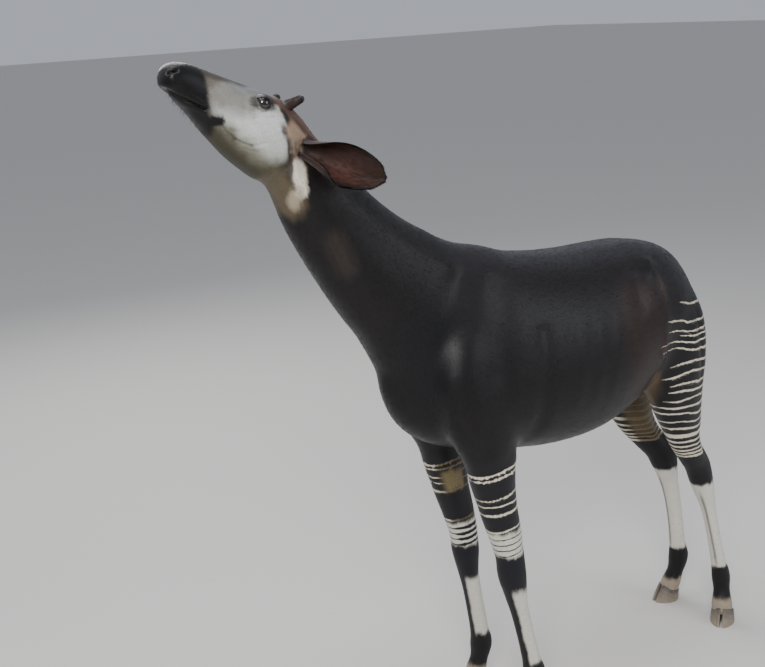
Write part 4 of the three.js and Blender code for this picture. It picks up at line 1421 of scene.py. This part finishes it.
def eyeWay(axes, out, phi):
    # the direction at the angle out from the way the eye looks, phi round it
    look, ahead, up = axes
    flat = np.sin(out)
    return (np.cos(out)[..., None] * look + (flat * np.cos(phi))[..., None] * ahead
            + (flat * np.sin(phi))[..., None] * up)


def almond(phi):
    # how far the lids' rim lies from the middle, as the sine of the angle: the almond
    # |y| = b(1 - x^2/a^2) in polar form
    a = math.sin(math.radians(lids["long"]))
    b = np.where(np.sin(phi) > 0, math.sin(math.radians(lids["upper"])),
                 math.sin(math.radians(lids["lower"])))
    c, s = np.cos(phi), np.abs(np.sin(phi))
    q = np.maximum(b * c * c / a ** 2, 1e-6)
    return (-s + np.sqrt(s * s + 4 * q * b)) / (2 * q)


def makeEyeBall(side, name, ballLook):
    # circles round the way it looks, the cornea raised by exp(-(angle / 0.62)^4)
    centre, *axes = eyeFrame(side)
    theta = np.linspace(0.02, np.pi - 0.02, 64)[:, None]
    phi = circle(96)[None]
    radius = (face["eyeRadius"] - 0.4 + 0.9 * np.exp(-(theta / 0.62) ** 4)) / 1000
    points, faces = tube(centre + radius[..., None] * eyeWay(axes, theta, phi))
    ball = makeMesh(f"eyeBall_{name}", points, faces)
    outward(ball)
    c, a, b = (unit(points - centre) @ axis for axis in axes)
    out = np.degrees(np.arccos(np.clip(c, -1, 1)))
    pupil = (1 - soft(0.85, 1.0, np.hypot(a / 0.44, b / 0.20))) * (c > 0)
    colours = np.tile(eyeColours["ball"], (len(points), 1))
    colours = blend(colours, eyeColours["iris"], 1 - soft(40, 44, out))
    colours = blend(colours, eyeColours["edge"], band(37, 43, 3, out) * 0.8)
    setColour(ball, "tint", blend(colours, eyeColours["pupil"], pupil))
    ball.data.materials.append(ballLook)
    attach(ball, "root")
    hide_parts(f"eye_{name}")


def makeLids(side, name, lidLook):
    # rings from the almond's rim out to under the skin, then back inside the ball
    centre, *axes = eyeFrame(side)
    phi = circle(112)
    rim = np.arcsin(np.clip(almond(phi), 0, 0.93))
    way = np.linspace(0, 1, 22)
    place, far = np.array(lids["profile"]).T
    out = rim[None] * (1 - way[:, None]) + math.radians(lids["outTo"]) * way[:, None]
    reach = np.interp(way, place, far)[:, None] / 1000
    upper = np.sin(phi)[None].clip(0) * (way > 0.2)[:, None]
    reach = reach + lids["crease"] * np.cos(out * 26) * upper
    turned = eyeWay(axes, out, phi)
    rings = np.concatenate([centre + reach[..., None] * turned,
                            centre + lids["inside"] * turned[::-1]])
    rows, cols, _ = rings.shape
    last = np.arange(cols)
    following = (last + 1) % cols
    start = (rows - 1) * cols
    closing = np.stack([start + last, start + following, following, last], 1)
    points = rings.reshape(-1, 3)
    piece = makeMesh(f"lids_{name}", points, np.vstack([gridFaces(rows, cols, True), closing]))
    outward(piece)
    ways = np.concatenate([np.repeat(way, cols), np.zeros(len(way) * cols)])
    dark = 1 - soft(0.07, 0.24, ways)
    setColour(piece, "tint", blend(hideColour(points), lids["rimColour"], dark))
    piece.data.materials.append(lidLook)
    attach(piece, "root")


def makeEyes():
    ballLook = tintedMaterial("eyeBall", "tint", 0.07)
    shader = ballLook.node_tree.nodes["Principled BSDF"]
    shader.inputs["Coat Weight"].default_value = 1.0
    shader.inputs["Coat Roughness"].default_value = 0.02
    lidLook = tintedMaterial("lidSkin", "tint", 0.45, 0.05)
    for side, name in bothSides:
        makeEyeBall(side, name, ballLook)
        makeLids(side, name, lidLook)
    print("eyes and lids made")


# Ossicones
ossicone = {
    "base": (-1004, 46, 1944), "tip": (-956, 56, 1963),
    # way along, radius (mm)
    "profile": [(-0.35, 15), (0, 14.2), (0.25, 12), (0.5, 10.4), (0.75, 9.2), (0.9, 7.6),
                (0.97, 5.2), (1.0, 1.5)],
    "root": light(30, 22, 20), "end": light(24, 18, 17),
    "hairs": 900, "rootHair": light(52, 36, 30), "endHair": light(26, 19, 18),
    "hairLength": (0.006, 0.011), "hairWidth": 0.0012,
}


def makeOssicones(hairLook):
    # a cone of rings along its axis, their radius from the profile, rippled a little
    look = tintedMaterial("ossiconeSkin", "tint", 0.5, 0.05)
    places, radii = np.array(ossicone["profile"]).T
    for side, name in bothSides:
        base, tip = placed(ossicone["base"], side), placed(ossicone["tip"], side)
        axis = unit(tip - base)
        length = np.linalg.norm(tip - base)
        across = unit(np.cross(axis, [0, 1, 0.2]))
        third = np.cross(axis, across)
        t = np.linspace(places[0], 1, 40)[:, None]
        turn = circle(40)[None]
        radius = np.interp(t, places, radii) / 1000
        radius = radius + 0.0004 * np.sin(3 * turn + 6 * t)
        rings = (base + axis * (t * length)[..., None]
                 + across * (radius * np.cos(turn))[..., None]
                 + third * (radius * np.sin(turn))[..., None])
        points, faces = tube(rings)
        piece = makeMesh(f"ossicone_{name}_fine", points, faces)
        outward(piece)
        way = (points - base) @ axis / length
        colours = blend(ossicone["root"], ossicone["end"], soft(0.45, 0.75, way))
        setColour(piece, "tint", colours)
        piece.data.materials.append(look)
        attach(piece, "root")
        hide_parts(f"ossicone_{name}")
        # hair up the cone, thinning to the bare tip
        lot = np.random.default_rng(7 + side)
        n = ossicone["hairs"]
        s, a = lot.random(n) ** 1.2 * 0.82 - 0.05, lot.uniform(0, 2 * np.pi, n)
        out = across * np.cos(a)[:, None] + third * np.sin(a)[:, None]
        size = np.interp(s, places, radii) / 1000 * 0.98
        roots = base + axis * (s * length)[:, None] + out * size[:, None]
        shade = lot.uniform(0.6, 1.5, (n, 1))
        colours = blend(ossicone["rootHair"], ossicone["endHair"], soft(0.4, 0.8, s)) * shade
        lies = axis + lot.normal(0, 0.15, (n, 3))
        length = lot.uniform(*ossicone["hairLength"], n)
        tufts(f"ossiconeHair_{name}", roots, out, lies,
              (length, ossicone["hairWidth"], 12, 0.12), colours, hairLook, 2)
    print("ossicones made")


# Hooves
hoof = {
    "gap": 7, "toePinch": 0.42, "heelPinch": 0.12,
    # height in front, height behind, toe, heel, widest, shift back (mm)
    "rings": [[58, 33, 33, 36, 32, 10], [42, 24, 40, 38, 34, 6], [20, 11, 49, 41, 36, 2],
              [0, 0, 56, 43, 36, 0]],
    "top": light(70, 64, 60), "sole": light(142, 130, 114),
    # horn grows in level rings: their streaks' size, and the bump they make
    "streaks": (0.05, 0.05, 0.0022), "bump": 0.7, "bumpHeight": 0.0009,
}


def makeHooves():
    # two claws a foot: half ovals of toe, heel and width, their inner sides nearly flat,
    # from a slanting top to a level sole
    pieces, tints = [], []
    for name in legNames:
        side = sideOf(name)
        keys = legKeys(name)
        x, y, turn = keys[-1, 0], keys[-1, 1], math.radians(keys[-1, 7])
        forward = np.array([-math.cos(turn), side * math.sin(turn), 0])
        for half in (-1, 1):
            out = np.array([-forward[1], forward[0], 0]) * half
            t = np.linspace(0, 3, 25)
            front, back, toe, heel, wide, move = (
                v[:, None] for v in through(hoof["rings"], t).T)
            a = circle(56)[None]
            c, s = np.cos(a), np.sin(a)
            along = np.where(c > 0, toe * c, heel * c)
            pinch = 1 - np.where(c > 0, hoof["toePinch"], hoof["heelPinch"]) * c * c
            flat = np.where(s > 0, wide * np.abs(s) ** 0.8 * pinch,
                            np.maximum(-2 * np.abs(s) ** 0.5 * pinch, -2))
            level = np.clip((along + heel) / (toe + heel), 0, 1)
            growth = 0.35 * np.sin(t * 17 + 0.6)[:, None] * (s > 0)
            flat = flat - np.abs(growth) * (t[:, None] > 0.2) * (t[:, None] < 2.9)
            across = hoof["gap"] / 2 + 2 + flat
            rings = (np.array([x, y, 0]) + forward * (along - move)[..., None]
                     + out * across[..., None])
            rings[..., 2] = back + (front - back) * level
            points, faces = tube(rings / 1000)
            pieces.append((points, faces))
            way = np.concatenate([np.repeat(t / 3, 56), [0, 1]])
            mottled = ripple(points, 60, 9) * 0.5 + ripple(points, 220, 10) * 0.3
            tone = np.clip(way + 0.25 * mottled, 0, 1)
            tints.append(blend(hoof["top"], hoof["sole"], tone))
    piece = makeMesh("hooves", *joined(pieces))
    outward(piece)
    setColour(piece, "tint", np.vstack(tints))
    look = tintedMaterial("hoofHorn", "tint", 0.5)
    tree = look.node_tree
    growth = streaks(tree, 0, hoof["streaks"], 2)
    addBump(tree, growth, hoof["bump"], hoof["bumpHeight"])
    piece.data.materials.append(look)
    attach(piece, "root")
    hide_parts(*[f"claw_{w}_{n}" for n in legNames for w in ("inner", "outer")])
    print("hooves made")


# The tail's tuft, the fringes of the ears, lashes and whiskers: how many tufts, where they
# grow, and the ranges of their lengths, widths (metres) and lifts (degrees)
strands = {
    "tail": {"count": 900, "top": 1.03, "deep": 0.112, "middle": 0.5815, "radius": 0.009,
             "tip": 0.785, "length": (0.11, 0.17), "width": (0.0022, 0.004), "lift": (6, 13),
             "colour": light(24, 19, 19)},
    "rim": {"count": 2600, "length": (0.004, 0.009), "width": 0.0010, "lift": (-4, 8),
            "colour": light(20, 15, 15)},
    "inside": {"count": 1100, "length": (0.010, 0.022), "width": 0.0009, "lift": (8, 22),
               "colour": light(54, 38, 32)},
    "lashes": {"count": 90, "length": (0.008, 0.014), "width": 0.0007, "lift": -14,
               "from": 0.0222, "colour": light(12, 10, 10)},
    "whiskers": {"count": 150, "length": (0.010, 0.024), "width": 0.0006, "lift": (35, 65),
                 "colour": light(36, 32, 32)},
}


def makeTail(look):
    # roots round the end of the dock, hanging to the tip
    form = strands["tail"]
    lot = np.random.default_rng(21)
    n = form["count"]
    s = lot.random(n)
    a = lot.uniform(0, 2 * np.pi, n)
    z = form["top"] - form["deep"] * s
    out = np.stack([np.cos(a), np.sin(a), 0 * a], 1)
    middle = np.array([form["middle"], 0, 0])
    roots = np.stack([0 * a, 0 * a, z], 1) + middle + out * form["radius"]
    tip = form["tip"] - 0.02 * lot.random(n)
    length = np.minimum(z - tip, lot.uniform(*form["length"], n))
    lies = np.array([0.0, 0, -1.0]) + lot.normal(0, 0.03, (n, 3))
    lift = lot.uniform(*form["lift"], n)
    colours = form["colour"] * lot.uniform(0.5, 1.7, (n, 1))
    tufts("tailTuft", roots, out, lies, (length, lot.uniform(*form["width"], n), lift, 0.10),
          colours, look, 5)


def makeFringes(look):
    # along each ear's rim, and longer thin hair inside the shell
    for side, name in bothSides:
        lot = np.random.default_rng(31 + side)
        _, axis, _, across = earFrame(side)
        form = strands["rim"]
        n = form["count"]
        t = lot.uniform(0.16, 0.995, n)
        v = np.sign(lot.normal(size=n)) * lot.uniform(0.93, 1.0, n)
        roots = earPoint(side, t, v, 0 * t)
        outwards = unit(roots - earPoint(side, t, v * 0.97, 0 * t))
        normals = unit(np.cross(outwards, axis)) * np.sign(lot.normal(size=n))[:, None]
        lies = axis * 0.8 + outwards * 0.4 + lot.normal(0, 0.12, (n, 3))
        colours = form["colour"] * lot.uniform(0.5, 1.6, (n, 1))
        length = lot.uniform(*form["length"], n) * (1.15 - 0.5 * t)
        tufts(f"earRim_{name}", roots, normals, lies,
              (length, form["width"], lot.uniform(*form["lift"], n), 0.05), colours, look, 2)
        form = strands["inside"]
        n = form["count"]
        t = lot.uniform(0.2, 0.92, n)
        v = lot.uniform(-0.9, 0.9, n)
        roots = earPoint(side, t, v, 0 * t - 0.0015)
        normals = unit(earPoint(side, t, v, 0 * t - 0.004) - roots)
        lies = axis + across * (-0.5 * v)[:, None] + lot.normal(0, 0.1, (n, 3))
        colours = form["colour"] * lot.uniform(0.7, 1.5, (n, 1))
        length = lot.uniform(*form["length"], n)
        tufts(f"earInside_{name}", roots, normals, lies,
              (length, form["width"], lot.uniform(*form["lift"], n), 0.10), colours, look, 2)


def makeLashes(look):
    # along the upper lid's rim, leaning out from the eye
    form = strands["lashes"]
    n = form["count"]
    for side, name in bothSides:
        centre, *axes = eyeFrame(side)
        forward, ahead, up = axes
        lot = np.random.default_rng(51 + side)
        phi = lot.uniform(0.12 * np.pi, 0.88 * np.pi, n)
        rim = np.arcsin(np.clip(almond(phi), 0, 0.93)) + 0.05
        turned = eyeWay(axes, rim, phi)
        roots = centre + form["from"] * turned
        lies = forward * 0.9 - up * 0.25 + ahead * (np.cos(phi) * 0.5)[:, None]
        lies = lies + lot.normal(0, 0.08, (n, 3))
        normals = unit(np.tile(up, (n, 1)) + 0.1 * turned)
        length = lot.uniform(*form["length"], n)
        tufts(f"lashes_{name}", roots, normals, lies,
              (length, form["width"], form["lift"], -0.35), np.tile(form["colour"], (n, 1)),
              look, 3)


def chinDensity(points):
    # 1 on chin and lips, next to nothing elsewhere
    x, _, z = points.T
    chin = soft(-1.20, -1.26, x) * soft(2.03, 1.98, z)
    return chin * (x > -1.31) + 1e-9


def makeWhiskers(skin, look):
    form = strands["whiskers"]
    n = form["count"]
    roots, normals = scatter(skin, n, chinDensity, 61)
    lot = np.random.default_rng(62)
    lies = np.array([-0.3, 0, -0.9]) + lot.normal(0, 0.25, (n, 3))
    length = lot.uniform(*form["length"], n)
    tufts("whiskers", roots, normals, lies,
          (length, form["width"], lot.uniform(*form["lift"], n), 0.15),
          np.tile(form["colour"], (n, 1)), look, 3)
    print("tail, ears, lashes and whiskers haired")


makeCamera()
makeStage()
skin = makeSkin()
dressSkin(skin)
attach(skin, "root")
flesh = ["torso", "neck", "head", "tail", "ear_left", "ear_right"] + legNames
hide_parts(*flesh)
hairLook = tintedMaterial("okapiHair", "hairColour", 0.48, 0.0, 0.2)
makeEyes()
makeOssicones(hairLook)
makeHooves()
makeCoat(skin, hairLook)
makeTail(hairLook)
makeFringes(hairLook)
makeLashes(hairLook)
makeWhiskers(skin, hairLook)
